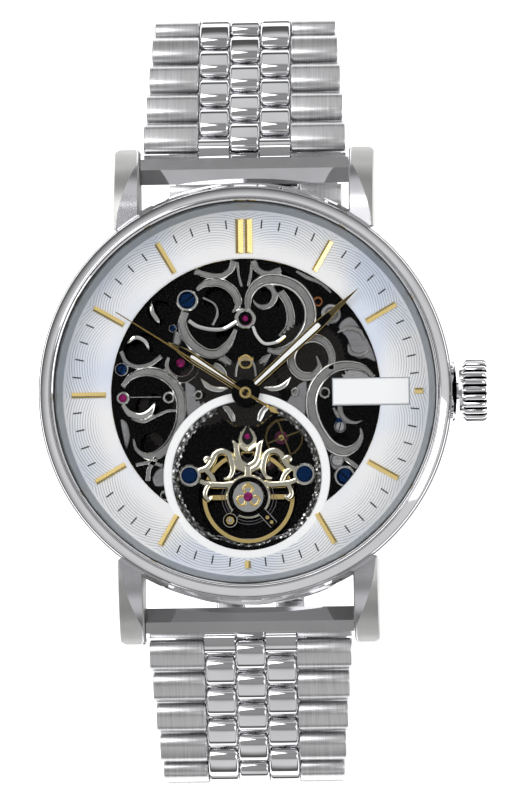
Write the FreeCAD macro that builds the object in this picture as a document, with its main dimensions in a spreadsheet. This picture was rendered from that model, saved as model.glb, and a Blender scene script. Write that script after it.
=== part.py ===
import FreeCAD, Part
import math
import os
import re
import Sketcher

# Skeleton wristwatch on a closed steel bracelet. Millimetres, dial up (+Z), 12 o'clock along +Y,
# crown along +X. The origin is the middle of the case back's outer face.

doc = FreeCAD.newDocument("SkeletonWatch")
sheet = doc.addObject("Spreadsheet::Sheet", "Sizes")

SIZES = {
    # case
    "caseRadius": 22.0, "caseFoot": 0.8, "caseTop": 9.0, "boreRadius": "=caseRadius-1.85", "lugInner": 11.0,
    "lugWidth": 2.45, "lugReach": 25.75, "barOffset": 23.8, "barHeight": 2.7, "barRadius": 0.9,
    "barTipRadius": 0.4, "barTipLength": 1.0, "lugBarPlay": 0.03,
    # bezel, glass and rehaut
    "bezelRadius": "=caseRadius-0.6", "bezelTop": 10.8, "bezelBore": "=caseRadius-2.05", "seatRadius": 20.9, "seatDepth": 0.8,
    "glassRadius": "=caseRadius-2.2", "glassFoot": 9.6, "glassEdge": 0.9, "glassDome": 0.7, "rehautInner": "=caseRadius-2.9",
    "rehautOuter": "=caseRadius-2.1", "pressPlay": 0.02,
    # case back
    "backRadius": "=caseRadius-1.1", "backThread": "=caseRadius-1.9", "backDepth": 2.3, "windowRadius": 15.0,
    "windowSeat": 16.0, "windowStep": 0.5, "windowThickness": 1.25, "gasketWidth": 0.4,
    # dial and hour bars
    "dialFoot": 7.35, "dialThickness": 0.4, "dialRadius": "=caseRadius-2.4", "dialOpening": 14.0,
    "subRingOffset": -8.6, "subRingOuter": 8.69, "subRingInner": 7.8, "barInner": 14.6,
    "barOuter": 18.2, "barWidth": 0.6, "barRise": 0.35, "plateReach": 17.0, "plateStart": 9.1,
    "plateWidth": 2.7,
    # movement plates
    "movementRadius": 15.5, "plateFoot": 5.7, "palletBridge": 0.25, "plateThickness": 1.0, "bridgeFoot": 2.6,
    "bridgeThickness": 0.7, "ringRadius": "=caseRadius-1.95", "ringFoot": 2.35, "movementPlay": 0.05,
    # arbors
    "arborRadius": 0.3, "arborPlay": 0.03, "jewelRadius": 0.7, "jewelRise": 0.05,
    # train: teeth and places
    "toothHeight": 0.24, "meshPlay": 0.05, "wheelThickness": 0.18, "barrelX": 6.6, "barrelY": 3.5,
    "thirdX": -6.0, "thirdY": -1.2, "escapeX": 3.6, "escapeY": -4.65, "palletX": 2.12,
    "palletY": -7.26, "balanceX": 0.1, "balanceY": -10.8, "minuteX": -4.5, "minuteY": -0.1,
    "crownWheelX": 11.72, "crownWheelY": 0.78, "clickX": 9.0, "clickY": 8.2,
    "fourthFoot": 3.55, "thirdFoot": 3.95, "barrelFoot": 3.95, "barrelDepth": 1.05,
    "centreFoot": 5.2, "escapeFoot": 4.4, "palletFoot": 4.35,
    # balance
    "balanceRadius": 4.8, "balanceRim": 0.4, "balanceFoot": 5.9, "balanceHeight": 0.5,
    "springOuter": 2.9, "springFoot": 6.55, "cockFoot": 6.85, "cockThickness": 0.45,
    "cockScrewX": 6.0, "cockScrewY": -8.5, "shockRadius": 1.74,
    # hands
    "hourFoot": 8.0, "minuteFoot": 8.45, "secondFoot": 8.9, "handThickness": 0.2,
    "hourLength": 9.7, "minuteLength": 16.0, "secondLength": 15.9, "secondTail": 4.2,
    "handPlay": 0.04, "pipeHole": 0.82, "hubRadius": 1.46,
    # crown and stem
    "crownRadius": 3.4, "crownLength": 3.0, "crownGap": 0.25, "stemHeight": 5.6, "stemRadius": 0.55,
    "tubeRadius": 1.2, "tubeBore": 0.75, "stemInner": 12.9, "pinionRadius": 1.0,
    # rotor
    "rotorRadius": 14.6, "rotorFoot": 1.5, "rotorWeb": 0.3, "rotorRim": 0.8, "rotorRimWidth": 2.4,
    "rotorHub": 2.2,
    # bracelet
    "linkPitch": 3.5, "linkThickness": 2.4, "linkGap": 0.16, "outerLink": 6.0, "innerLink": 3.15,
    "columnGap": 0.06, "pinRadius": 0.35, "pinPlay": 0.03, "taperStep": 0.26, "firstHingeY": 26.3,
    "firstHingeZ": 2.9, "endPieceTop": 4.5, "endPieceFoot": 1.5,
    # clasp
    "coverWidth": 17.5, "coverThickness": 0.8, "bladeWidth": 11.0, "bladeThickness": 0.7,
    "claspPlay": 0.25, "buttonRadius": 1.0, "buttonTravel": 0.8,
}
SECONDS_ANGLE, MINUTE_ANGLE, HOUR_ANGLE = 302.6, 47.9, 304.0  # clockwise from 12 o'clock
ROW_TILTS = [24, 24, 25, 33, 80, 90, 98, 109, 121, 133, 145, 157, 167, 175]
ROW_GROUPS = {"12": [[1], [2], [3], [4], [5, 6], [7, 8, 9, 10], [11, 12, 13, 14]],
              "6": [[1], [2], [3], [4], [5, 6, 7, 8, 9], [10, 11, 12, 13, 14]]}
TAPERED_ROWS = 6

for row, (alias, value) in enumerate(SIZES.items(), start=1):
    sheet.set(f"A{row}", alias)
    sheet.set(f"B{row}", value if isinstance(value, str) else f"{value:g}")
    sheet.setAlias(f"B{row}", alias)
doc.recompute()

NAMES = re.compile(r"\b(" + "|".join(sorted(SIZES, key=len, reverse=True)) + r")\b")
made = {}  # node name -> document object


def size(formula):
    """The value, in mm, of a formula of sheet aliases."""
    value = sheet.evalExpression(NAMES.sub(r"Sizes.\1", str(formula)))
    return float(getattr(value, "Value", value))


def bind(item, prop, formula):
    """Ties one property of an object to a formula of sheet aliases."""
    text = str(formula)
    if NAMES.search(text):
        item.setExpression(prop, NAMES.sub(r"Sizes.\1", text))
    elif prop.startswith(".Placement.Base"):
        item.setExpression(prop, text)
    else:
        setattr(item, prop, size(text))


def place(item, x=0, y=0, z=0, axis=(0, 0, 1), angle=0):
    """Puts an object at x, y, z (formulas) turned by angle degrees about axis."""
    item.Placement = FreeCAD.Placement(FreeCAD.Vector(), FreeCAD.Rotation(FreeCAD.Vector(*axis), angle))
    for letter, formula in zip("xyz", (x, y, z)):
        bind(item, f".Placement.Base.{letter}", formula)
    return item


def unique(name):
    return re.sub(r"\W", "_", name)


def cylinder(name, radius, low, high, x=0, y=0):
    """An upright cylinder from height low to height high."""
    item = doc.addObject("Part::Cylinder", unique(name))
    bind(item, "Radius", radius)
    bind(item, "Height", f"({high})-({low})")
    return place(item, x, y, low)


def rod(name, radius, start, end, y=0, z=0):
    """A cylinder along X from start to end."""
    item = doc.addObject("Part::Cylinder", unique(name))
    bind(item, "Radius", radius)
    bind(item, "Height", f"({end})-({start})")
    return place(item, start, y, z, (0, 1, 0), 90)


def box(name, x_range, y_range, z_range):
    item = doc.addObject("Part::Box", unique(name))
    for prop, (low, high) in zip(("Length", "Width", "Height"), (x_range, y_range, z_range)):
        bind(item, prop, f"({high})-({low})")
    return place(item, x_range[0], y_range[0], z_range[0])


def fuse(name, *pieces):
    item = doc.addObject("Part::MultiFuse", unique(name))
    item.Shapes = list(pieces)
    return item


def cut(name, base, *tools):
    item = doc.addObject("Part::Cut", unique(name))
    item.Base = base
    item.Tool = tools[0] if len(tools) == 1 else fuse(name + "_tools", *tools)
    return item


def common(name, one, other):
    item = doc.addObject("Part::Common", unique(name))
    item.Base = one
    item.Tool = other
    return item


def group(name, *pieces):
    item = doc.addObject("Part::Compound", unique(name))
    item.Links = list(pieces)
    return item


def ring(name, inner, outer, low, high, x=0, y=0):
    return cut(name, cylinder(name + "_rim", outer, low, high, x, y),
               cylinder(name + "_hole", inner, f"({low})-1", f"({high})+1", x, y))


def coded(name, shape, x=0, y=0, z=0, axis=(0, 0, 1), angle=0):
    """A shape that no sketch or primitive gives, placed after its shape is set."""
    item = doc.addObject("Part::Feature", unique(name))
    item.Shape = Part.makeCompound([shape])  # a compound keeps the shape's own place
    return place(item, x, y, z, axis, angle)


def keep(node, item):
    """Names a finished sub-part; the label is the node's name."""
    item.Label = node
    made[node] = item
    return item


def sketch_polygon(body, name, plane, points, at_arcs=None):
    """A closed sketch through points, each tied to a pair of formulas; at_arcs holds bulged sides."""
    sketch = body.newObject("Sketcher::SketchObject", name)
    origin = [f for f in body.Origin.OriginFeatures if f.Role == plane][0]
    sketch.AttachmentSupport = [(origin, "")]
    sketch.MapMode = "FlatFace"
    places = [(size(a), size(b)) for a, b in points]
    count = len(points)
    for index in range(count):
        first, second = places[index], places[(index + 1) % count]
        bulge = (at_arcs or {}).get(index)
        if bulge is None:
            sketch.addGeometry(Part.LineSegment(FreeCAD.Vector(*first, 0), FreeCAD.Vector(*second, 0)), False)
        else:
            middle = (size(bulge[0]), size(bulge[1]))
            arc = Part.Arc(FreeCAD.Vector(*first, 0), FreeCAD.Vector(*middle, 0), FreeCAD.Vector(*second, 0))
            sketch.addGeometry(arc, False)
    ends = []
    for index in range(count):
        forward = True
        if (at_arcs or {}).get(index) is not None:
            curve = sketch.Geometry[index]
            forward = curve.StartPoint.distanceToPoint(FreeCAD.Vector(*places[index], 0)) < 1e-6
        ends.append((1, 2) if forward else (2, 1))
    for index in range(count):
        following = (index + 1) % count
        sketch.addConstraint(Sketcher.Constraint("Coincident", index, ends[index][1], following,
                                                 ends[following][0]))
    for index, formulas in enumerate(points):
        for kind, formula, value in zip(("DistanceX", "DistanceY"), formulas, places[index]):
            number = sketch.addConstraint(Sketcher.Constraint(kind, -1, 1, index, ends[index][0], value))
            if NAMES.search(str(formula)):
                sketch.setExpression(f"Constraints[{number}]", NAMES.sub(r"Sizes.\1", str(formula)))
    for index, bulge in (at_arcs or {}).items():
        radius = sketch.Geometry[index].Radius
        sketch.addConstraint(Sketcher.Constraint("Radius", index, radius))
    return sketch


def lathe(name, points, at_arcs=None):
    """A body turned about Z from a profile of (radius, height) formulas."""
    body = doc.addObject("PartDesign::Body", unique(name))
    profile = sketch_polygon(body, unique(name) + "_profile", "XZ_Plane", points, at_arcs)
    turn = body.newObject("PartDesign::Revolution", unique(name) + "_turn")
    turn.Profile = profile
    turn.ReferenceAxis = (profile, ["V_Axis"])
    turn.Angle = 360
    return body


def slab(name, plane, points, length, at_arcs=None, both=True):
    """A body padded from a sketch; both sides of its plane by half the length, or one side."""
    body = doc.addObject("PartDesign::Body", unique(name))
    profile = sketch_polygon(body, unique(name) + "_profile", plane, points, at_arcs)
    pad = body.newObject("PartDesign::Pad", unique(name) + "_pad")
    pad.Profile = profile
    bind(pad, "Length", length)
    pad.Midplane = both
    return body


def mirror(name, item, normal):
    twin = doc.addObject("Part::Mirroring", unique(name))
    twin.Source = item
    twin.Normal = FreeCAD.Vector(*normal)
    return twin


# ---- case ----

def case_body():
    ring_body = lathe("case_ring", [
        ("boreRadius", "caseFoot"), ("caseRadius-1.6", "caseFoot"), ("caseRadius-0.5", "caseFoot+1"),
        ("caseRadius", "caseFoot+3.4"), ("caseRadius", "caseTop-1.4"), ("caseRadius-0.25", "caseTop-0.4"),
        ("caseRadius-0.45", "caseTop"), ("seatRadius", "caseTop"), ("seatRadius", "caseTop-seatDepth"),
        ("boreRadius", "caseTop-seatDepth")])
    lug = slab("lug_form", "YZ_Plane", [
        ("17.2", "caseFoot+0.4"), ("lugReach-1.2", "caseFoot-0.7"), ("lugReach", "caseFoot+0.1"),
        ("lugReach", "barHeight+0.7"), ("17.2", "caseTop-0.6")], "lugWidth",
        {3: ("lugReach-3.6", "caseTop-2.2")})
    place(lug, "lugInner+lugWidth/2")
    left = mirror("lug_left", lug, (1, 0, 0))
    low_right = mirror("lug_low_right", lug, (0, 1, 0))
    low_left = mirror("lug_low_left", left, (0, 1, 0))
    solid = fuse("case_solid", ring_body, lug, left, low_right, low_left)
    reach = "lugInner+barTipLength+lugBarPlay"
    holes = [rod(f"bar_hole_{side}", "barTipRadius+lugBarPlay", f"-({reach})", reach,
                 f"{side}*barOffset", "barHeight") for side in (1, -1)]
    tube_hole = rod("tube_hole", "tubeRadius", "boreRadius-1.5", "caseRadius+1", 0, "stemHeight")
    groove = ring("gasket_groove", "backThread+0.25", "backThread+0.25+gasketWidth", "caseFoot-0.5",
                  "caseFoot+gasketWidth")
    return cut("case_cut", solid, *holes, tube_hole, groove)


def bezel():
    return lathe("bezel_turn", [
        ("bezelBore", "caseTop-seatDepth"), ("seatRadius-pressPlay", "caseTop-seatDepth"),
        ("seatRadius-pressPlay", "caseTop"), ("bezelRadius", "caseTop"), ("bezelRadius", "caseTop+0.35"),
        ("bezelRadius-0.25", "caseTop+0.8"), ("bezelRadius-0.95", "bezelTop-0.45"),
        ("bezelRadius-1.02", "bezelTop-0.6"), ("bezelRadius-1.1", "bezelTop-0.35"),
        ("bezelRadius-1.25", "bezelTop"), ("bezelBore+0.05", "bezelTop-0.1"), ("bezelBore", "bezelTop-0.3")])


def glass():
    """A flat-bottomed disc with a shallow domed top, cut from a ball."""
    ball = doc.addObject("Part::Sphere", "glass_ball")
    bind(ball, "Radius", "(glassRadius*glassRadius+glassDome*glassDome)/(2*glassDome)")
    place(ball, 0, 0, "glassFoot+glassEdge+glassDome-(glassRadius*glassRadius+glassDome*glassDome)/(2*glassDome)")
    disc = cylinder("glass_disc", "glassRadius", "glassFoot", "glassFoot+glassEdge+glassDome+1")
    return common("glass_lens", disc, ball)


def case_back():
    return lathe("back_turn", [
        ("windowRadius+pressPlay", "0"), ("backRadius-0.4", "0"), ("backRadius", "0.4"),
        ("backRadius", "caseFoot"), ("backThread", "caseFoot"), ("backThread", "backDepth"),
        ("windowSeat+pressPlay", "backDepth"), ("windowSeat+pressPlay", "windowStep"),
        ("windowRadius+pressPlay", "windowStep")])


def back_window():
    return lathe("window_turn", [
        ("0", "0"), ("windowRadius", "0"), ("windowRadius", "windowStep"), ("windowSeat", "windowStep"),
        ("windowSeat", "windowThickness"), ("0", "windowThickness")])


keep("case_body", case_body())
keep("bezel", bezel())
keep("crystal", glass())
keep("case_back", case_back())
keep("back_crystal", back_window())
keep("gaskets", group(
    "gasket_pair",
    ring("glass_gasket", "glassRadius", "bezelBore", "glassFoot", "glassFoot+0.7"),
    ring("back_gasket", "backThread+0.27", "backThread+0.23+gasketWidth", "caseFoot",
         "caseFoot+gasketWidth")))
keep("rehaut_ring", lathe("rehaut_turn", [
    ("rehautInner", "dialFoot+dialThickness"), ("rehautOuter", "dialFoot+dialThickness"),
    ("rehautOuter", "glassFoot"), ("rehautOuter-0.25", "glassFoot"),
    ("rehautInner", "dialFoot+dialThickness+0.3")]))
stem_path = rod("stem_path", "tubeRadius+0.15", "movementRadius-1", "ringRadius+1", 0, "stemHeight")
keep("movement_ring", cut("ring_cut", ring("ring_blank", "movementRadius+movementPlay", "ringRadius",
                                           "ringFoot", "dialFoot"), stem_path,
                          cylinder("ring_bay", "balanceRadius+0.4", "plateFoot-0.4", "dialFoot+1", "balanceX",
                                   "balanceY")))
keep("crown_tube", cut("tube_cut", rod("tube_rod", "tubeRadius", "boreRadius", "caseRadius+0.2", 0,
                                       "stemHeight"),
                       rod("tube_bore", "tubeBore", "boreRadius-1", "caseRadius+1", 0, "stemHeight")))


def spring_bars():
    bars = []
    for side in (1, -1):
        middle = rod(f"bar_{side}", "barRadius", "-(lugInner-0.1)", "lugInner-0.1", f"{side}*barOffset",
                     "barHeight")
        tips = rod(f"bar_tips_{side}", "barTipRadius", "-(lugInner+barTipLength)",
                   "lugInner+barTipLength", f"{side}*barOffset", "barHeight")
        bars.append(fuse(f"bar_whole_{side}", middle, tips))
    return group("bars", *bars)


keep("spring_bars", spring_bars())


# ---- dial ----

def dial():
    blank = cylinder("dial_blank", "dialRadius", "dialFoot", "dialFoot+dialThickness")
    opening = cylinder("dial_opening", "dialOpening", "dialFoot-1", "dialFoot+2")
    sub_ring = ring("sub_ring", "subRingInner", "subRingOuter", "dialFoot", "dialFoot+dialThickness",
                    "0", "subRingOffset")
    sub_hole = cylinder("sub_hole", "subRingInner", "dialFoot-1", "dialFoot+2", 0, "subRingOffset")
    plate = box("name_plate", ("plateStart", "plateReach"), ("-plateWidth/2", "plateWidth/2"),
                ("dialFoot", "dialFoot+dialThickness+0.15"))
    inner = common("sub_ring_inside", sub_ring,
                   cylinder("sub_ring_limit", "dialRadius-1", "dialFoot-1", "dialFoot+2"))
    boss = cylinder("dial_boss", "hubRadius", "dialFoot", "dialFoot+dialThickness")
    pipe_hole = cylinder("dial_pipe_hole", "pipeHole", "dialFoot-1", "dialFoot+2")
    return cut("dial_pierced", fuse("dial_whole", cut("dial_cut", blank, opening, sub_hole), inner, plate, boss),
               pipe_hole)


def hour_bar(name, angle, inner, outer, width, shift=0):
    """One applied bar with two sloping facets, along +Y, turned clockwise to its hour."""
    half, rise = size(width) / 2, size("barRise")
    top = size("dialFoot+dialThickness")
    wire = Part.makePolygon([FreeCAD.Vector(-half, 0, top), FreeCAD.Vector(half, 0, top),
                             FreeCAD.Vector(half * 0.8, 0, top + rise * 0.6), FreeCAD.Vector(0, 0, top + rise),
                             FreeCAD.Vector(-half * 0.8, 0, top + rise * 0.6), FreeCAD.Vector(-half, 0, top)])
    prism = Part.Face(wire).extrude(FreeCAD.Vector(0, size(outer) - size(inner), 0))
    prism.translate(FreeCAD.Vector(shift, size(inner), 0))
    return coded(name, prism, angle=-angle)


def hour_markers():
    bars = [hour_bar(f"mark_{hour}", hour * 30, "barInner", "barOuter", "barWidth")
            for hour in (1, 2, 4, 5, 7, 8, 9, 10, 11)]
    bars += [hour_bar(f"mark_12_{side}", 0, "barInner", "barOuter", "barWidth+0.2", side * 0.48)
             for side in (-1, 1)]
    bars.append(hour_bar("mark_3", 90, "plateReach+0.6", "plateReach+1.5", "barWidth"))
    bars.append(hour_bar("mark_6", 180, "plateReach+0.5", "plateReach+1.35", "barWidth"))
    return group("marks", *bars)


keep("dial", dial())
keep("hour_markers", hour_markers())


# ---- movement plates ----
ARBORS = {"centre": ("0", "0"), "barrel": ("barrelX", "barrelY"), "third": ("thirdX", "thirdY"),
          "escape": ("escapeX", "escapeY"), "pallet": ("palletX", "palletY"),
          "balance": ("balanceX", "balanceY")}
DIAL_SIDE_POSTS = {"minute": ("minuteX", "minuteY"), "crown_wheel": ("crownWheelX", "crownWheelY"),
                   "click": ("clickX", "clickY")}
PLATE_OPENINGS = [(3.6, 10.9, 1.9), (-2.7, 9.9, 1.6), (-10.7, 4.4, 2.1), (-8.9, 8.6, 1.3),
                  (-10.1, -1.2, 1.5), (-9.9, -5.0, 1.2), (9.8, -5.6, 1.2), (-2.1, 6.4, 1.0)]
plate_top = "plateFoot+plateThickness"
HOLE = "arborRadius+arborPlay"


def main_plate():
    blank = cylinder("plate_blank", "movementRadius", "plateFoot", plate_top)
    tools = [cylinder(f"plate_open_{n}", radius, "plateFoot-1", "plateFoot+3", x, y)
             for n, (x, y, radius) in enumerate(PLATE_OPENINGS)]
    tools.append(cylinder("balance_bay", "balanceRadius+0.4", "plateFoot-1", "plateFoot+3", "balanceX",
                          "balanceY"))
    tools.append(cylinder("ratchet_hole", "1.1", "plateFoot-1", "plateFoot+3", "barrelX", "barrelY"))
    tools.append(cylinder("centre_hole", "1.0", "plateFoot-1", "plateFoot+3"))
    for name in ("third", "escape"):
        tools.append(cylinder(f"plate_{name}_hole", "jewelRadius", "plateFoot-1", "plateFoot+3",
                              *ARBORS[name]))
    tools.append(box("stem_bay", ("stemInner-0.4", "movementRadius+1"), ("-pinionRadius-0.2",
                     "pinionRadius+0.2"), ("plateFoot-1", "plateFoot+3")))
    posts = [cylinder(f"post_{name}", "arborRadius", plate_top, "plateFoot+plateThickness+0.55", *where)
             for name, where in DIAL_SIDE_POSTS.items()]
    feet = [cylinder(f"cock_foot_{side}", "1.1", plate_top, "cockFoot", f"{side}*cockScrewX", "cockScrewY")
            for side in (1, -1)]
    pillars = [cylinder(f"pillar_{n}", "0.9", "bridgeFoot+bridgeThickness", "plateFoot",
                        14.2 * math.cos(math.radians(turn)), 14.2 * math.sin(math.radians(turn)))
               for n, turn in enumerate((120, 200, 330))]
    arm = fuse("pallet_arm", cylinder("pallet_boss", "1.2", "plateFoot-palletBridge", "plateFoot", *ARBORS["pallet"]),
               box("pallet_beam", ("palletX-1.2", "palletX+0.5"), ("palletY", "palletY+1.9"),
                   ("plateFoot-palletBridge", "plateFoot")))
    arm = cut("pallet_bridge", arm, cylinder("pallet_seat", "jewelRadius", "plateFoot-1", "plateFoot+1",
                                             *ARBORS["pallet"]))
    return fuse("plate_whole", cut("plate_cut", blank, *tools), arm, *posts, *feet, *pillars)


def train_bridge():
    blank = cylinder("bridge_blank", "movementRadius-0.5", "bridgeFoot", "bridgeFoot+bridgeThickness")
    tools = [cylinder(f"bridge_{name}_hole", "jewelRadius" if name != "barrel" else "1.1",
                      "bridgeFoot-1", "bridgeFoot+2", *where) for name, where in ARBORS.items()]
    post = cylinder("rotor_post", "0.8", "rotorFoot-0.15", "bridgeFoot")
    keep_clear = cylinder("centre_blind", "jewelRadius", "bridgeFoot-1", "bridgeFoot+0.3")
    return fuse("bridge_whole", cut("bridge_cut", blank, *tools), keep_clear, post)


def jewel(name, x, y, low, high, hole=HOLE, radius="jewelRadius"):
    return ring(name, hole, radius, low, high, x, y)


def jewels():
    pieces = []
    for name in ("third", "escape"):
        pieces.append(jewel(f"jewel_top_{name}", *ARBORS[name], "plateFoot+0.4",
                            "plateFoot+plateThickness+jewelRise"))
    pieces.append(jewel("jewel_top_pallet", *ARBORS["pallet"], "plateFoot-palletBridge", "plateFoot"))
    for name in ("third", "escape", "pallet", "balance"):
        pieces.append(jewel(f"jewel_low_{name}", *ARBORS[name], "bridgeFoot", "bridgeFoot+0.5"))
    return group("jewel_set", *pieces)


def screw(name, x, y, low, head_radius, shank_low):
    head = cylinder(name + "_head", head_radius, low, f"{low}+0.3", x, y)
    slot = box(name + "_slot", (f"({x})-2", f"({x})+2"), (f"({y})-0.09", f"({y})+0.09"),
               (f"{low}+0.18", f"{low}+0.6"))
    shank = cylinder(name + "_shank", "0.3", shank_low, low, x, y)
    return fuse(name, cut(name + "_slotted", head, slot), shank)


def movement_screws():
    cock_top = "cockFoot+cockThickness"
    pieces = [screw("screw_cock_right", "cockScrewX", "cockScrewY", cock_top, "0.72", "cockFoot"),
              screw("screw_cock_left", "-cockScrewX", "cockScrewY", cock_top, "0.72", "cockFoot")]
    for n, (x, y, radius) in enumerate([(-6.05, 9.85, 0.75), (10.2, -8.8, 0.73), (-13.0, 2.7, 0.5),
                                        (-7.6, 6.9, 0.28), (9.75, -3.2, 0.5)]):
        pieces.append(screw(f"screw_plate_{n}", x, y, plate_top, radius, f"{plate_top}-0.01"))
    return group("screw_set", *pieces)


def balance_cock():
    low, high = "cockFoot", "cockFoot+cockThickness"
    pieces = []
    for side in (1, -1):
        pieces.append(cylinder(f"cock_pad_{side}", "1.15", low, high, f"{side}*cockScrewX", "cockScrewY"))
        pieces.append(ring(f"cock_scroll_{side}", "1.35", "2.15", low, high, f"{side}*2.8", "-8.2"))
        pieces.append(box(f"cock_arm_{side}", ("4.3", "cockScrewX") if side > 0 else
                          ("-cockScrewX", "-4.3"), ("cockScrewY-0.35", "cockScrewY+0.45"), (low, high)))
    pieces.append(cylinder("cock_eye", "2.1", low, high, "balanceX", "balanceY"))
    pieces.append(box("cock_stem", ("-1.0", "1.2"), ("balanceY+1", "-5.0"), (low, high)))
    pieces.append(cylinder("cock_crest", "0.9", low, high, "0.1", "-4.9"))
    whole = fuse("cock_whole", *pieces)
    eye = cylinder("cock_eye_hole", "shockRadius-0.3", "cockFoot-1", "cockFoot+2", "balanceX", "balanceY")
    screws = [cylinder(f"cock_screw_hole_{side}", "0.32", "cockFoot-1", "cockFoot+2",
                       f"{side}*cockScrewX", "cockScrewY") for side in (1, -1)]
    return cut("cock_cut", whole, eye, *screws)


keep("main_plate", main_plate())
keep("train_bridge", train_bridge())
keep("jewels", jewels())
keep("movement_screws", movement_screws())
keep("balance_cock", balance_cock())
keep("shock_setting", fuse(
    "shock_whole",
    ring("shock_cup", HOLE, "shockRadius-0.3-pressPlay", "cockFoot", "cockFoot+cockThickness", "balanceX",
         "balanceY"),
    cylinder("shock_cap", "shockRadius", "cockFoot+cockThickness", "cockFoot+cockThickness+0.25",
             "balanceX", "balanceY")))
keep("regulator", fuse(
    "regulator_whole",
    ring("regulator_ring", "shockRadius+0.03", "shockRadius+0.45", "cockFoot+cockThickness+0.02",
         "cockFoot+cockThickness+0.2", "balanceX", "balanceY"),
    coded("regulator_tail", Part.makeBox(0.45, 1.6, 0.18, FreeCAD.Vector(-0.22, 2.0, 0)),
          "balanceX", "balanceY", "cockFoot+cockThickness+0.02", angle=140),
    coded("regulator_pins", Part.makeBox(0.5, 1.0, 0.18, FreeCAD.Vector(-0.25, 2.0, 0)),
          "balanceX", "balanceY", "cockFoot+cockThickness+0.02", angle=220)))


# ---- gears ----

def teeth_face(count, pitch_radius, phase, share=0.46):
    """A toothed outline of straight-sided teeth; phase is the angle of one tooth, in radians."""
    height = size("toothHeight")
    tip, root = pitch_radius + height / 2 - size("meshPlay"), pitch_radius - height / 2 - size("meshPlay")
    step = 2 * math.pi / count
    points = []
    for index in range(count):
        middle = phase + index * step
        for offset, radius in ((-share / 2, root), (-share / 4, tip), (share / 4, tip), (share / 2, root)):
            turn = middle + offset * step
            points.append(FreeCAD.Vector(radius * math.cos(turn), radius * math.sin(turn), 0))
    return Part.Face(Part.makePolygon(points + points[:1])), root


def gear(count, pitch_radius, low, thickness, phase=0.0, bore=0.0, spokes=0, rim=0.9, hub=0.9):
    """A toothed disc in its own axis frame, spoked where it is wide."""
    face, root = teeth_face(count, pitch_radius, phase)
    solid = face.extrude(FreeCAD.Vector(0, 0, thickness))
    cutters = [Part.makeCylinder(bore, thickness)] if bore else []
    if spokes:
        opening = Part.makeCylinder(root - rim, thickness).cut(Part.makeCylinder(hub, thickness))
        for index in range(spokes):
            arm = Part.makeBox(root, 0.5, thickness, FreeCAD.Vector(0, -0.25, 0))
            arm.rotate(FreeCAD.Vector(), FreeCAD.Vector(0, 0, 1), 360 * index / spokes)
            opening = opening.cut(arm)
        cutters.append(opening)
    if cutters:
        solid = solid.cut(cutters)
    solid.translate(FreeCAD.Vector(0, 0, low))
    return solid


def mesh_phase(count_a, phase_a, count_b, heading):
    """The phase that puts a gap of gear b on the tooth of gear a; heading points from a to b."""
    step = 2 * math.pi / count_a
    offset = (phase_a - heading + step / 2) % step - step / 2
    return heading + math.pi - count_a / count_b * offset + math.pi / count_b


def heading(start, end):
    return math.atan2(size(end[1]) - size(start[1]), size(end[0]) - size(start[0]))


def spacing(start, end):
    return math.hypot(size(end[1]) - size(start[1]), size(end[0]) - size(start[0]))


TEETH = {"centre_wheel": 64, "third_pinion": 8, "third_wheel": 60, "fourth_pinion": 8,
         "fourth_wheel": 70, "escape_pinion": 7, "barrel": 72, "centre_pinion": 12, "cannon": 12,
         "minute_wheel": 36, "minute_pinion": 10, "hour_wheel": 40, "ratchet": 48, "crown_wheel": 24}
centre, third, escape = ARBORS["centre"], ARBORS["third"], ARBORS["escape"]
minute_post, barrel_place = DIAL_SIDE_POSTS["minute"], ARBORS["barrel"]
crown_post = DIAL_SIDE_POSTS["crown_wheel"]


def pitch(first, second, start, end):
    """Pitch radii of a meshing pair from the distance between their axes."""
    total = TEETH[first] + TEETH[second]
    return [spacing(start, end) * TEETH[name] / total for name in (first, second)]


centre_radius, third_pinion_radius = pitch("centre_wheel", "third_pinion", centre, third)
third_radius, fourth_pinion_radius = pitch("third_wheel", "fourth_pinion", third, centre)
fourth_radius, escape_pinion_radius = pitch("fourth_wheel", "escape_pinion", centre, escape)
barrel_radius, centre_pinion_radius = pitch("barrel", "centre_pinion", barrel_place, centre)
cannon_radius, minute_radius = pitch("cannon", "minute_wheel", centre, minute_post)
minute_pinion_radius, hour_radius = pitch("minute_pinion", "hour_wheel", minute_post, centre)
ratchet_radius, crown_wheel_radius = pitch("ratchet", "crown_wheel", barrel_place, crown_post)
thin = size("wheelThickness")
plate_top_z = size(plate_top)


def shaft(radius, low, high):
    return Part.makeCylinder(radius, high - low, FreeCAD.Vector(0, 0, low))


def solid_of(*shapes):
    return shapes[0].multiFuse(list(shapes[1:])).removeSplitter() if len(shapes) > 1 else shapes[0]


arbor = size("arborRadius")
bridge_low, bridge_high = size("bridgeFoot"), size("bridgeFoot+bridgeThickness")
fourth_low, third_low, centre_low = size("fourthFoot"), size("thirdFoot"), size("centreFoot")
hand_top = size("secondFoot")

fourth_solid = solid_of(
    gear(TEETH["fourth_wheel"], fourth_radius, fourth_low, thin, 0, spokes=4),
    gear(TEETH["fourth_pinion"], fourth_pinion_radius, fourth_low + thin, 0.5),
    shaft(0.22, bridge_low + 0.35, hand_top + size("handThickness")),
    shaft(0.5, bridge_high + 0.05, fourth_low))
keep("fourth_wheel", coded("fourth_solid", fourth_solid))

third_phase = mesh_phase(TEETH["fourth_pinion"], 0, TEETH["third_wheel"], heading(centre, third))
third_pinion_phase = third_phase
third_solid = solid_of(
    gear(TEETH["third_wheel"], third_radius, third_low, thin, third_phase, spokes=5),
    gear(TEETH["third_pinion"], third_pinion_radius, centre_low - 0.1, 0.35, third_pinion_phase),
    shaft(arbor, bridge_low + 0.05, plate_top_z), shaft(0.42, third_low, centre_low))
keep("third_wheel", coded("third_solid", third_solid, *third))

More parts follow.
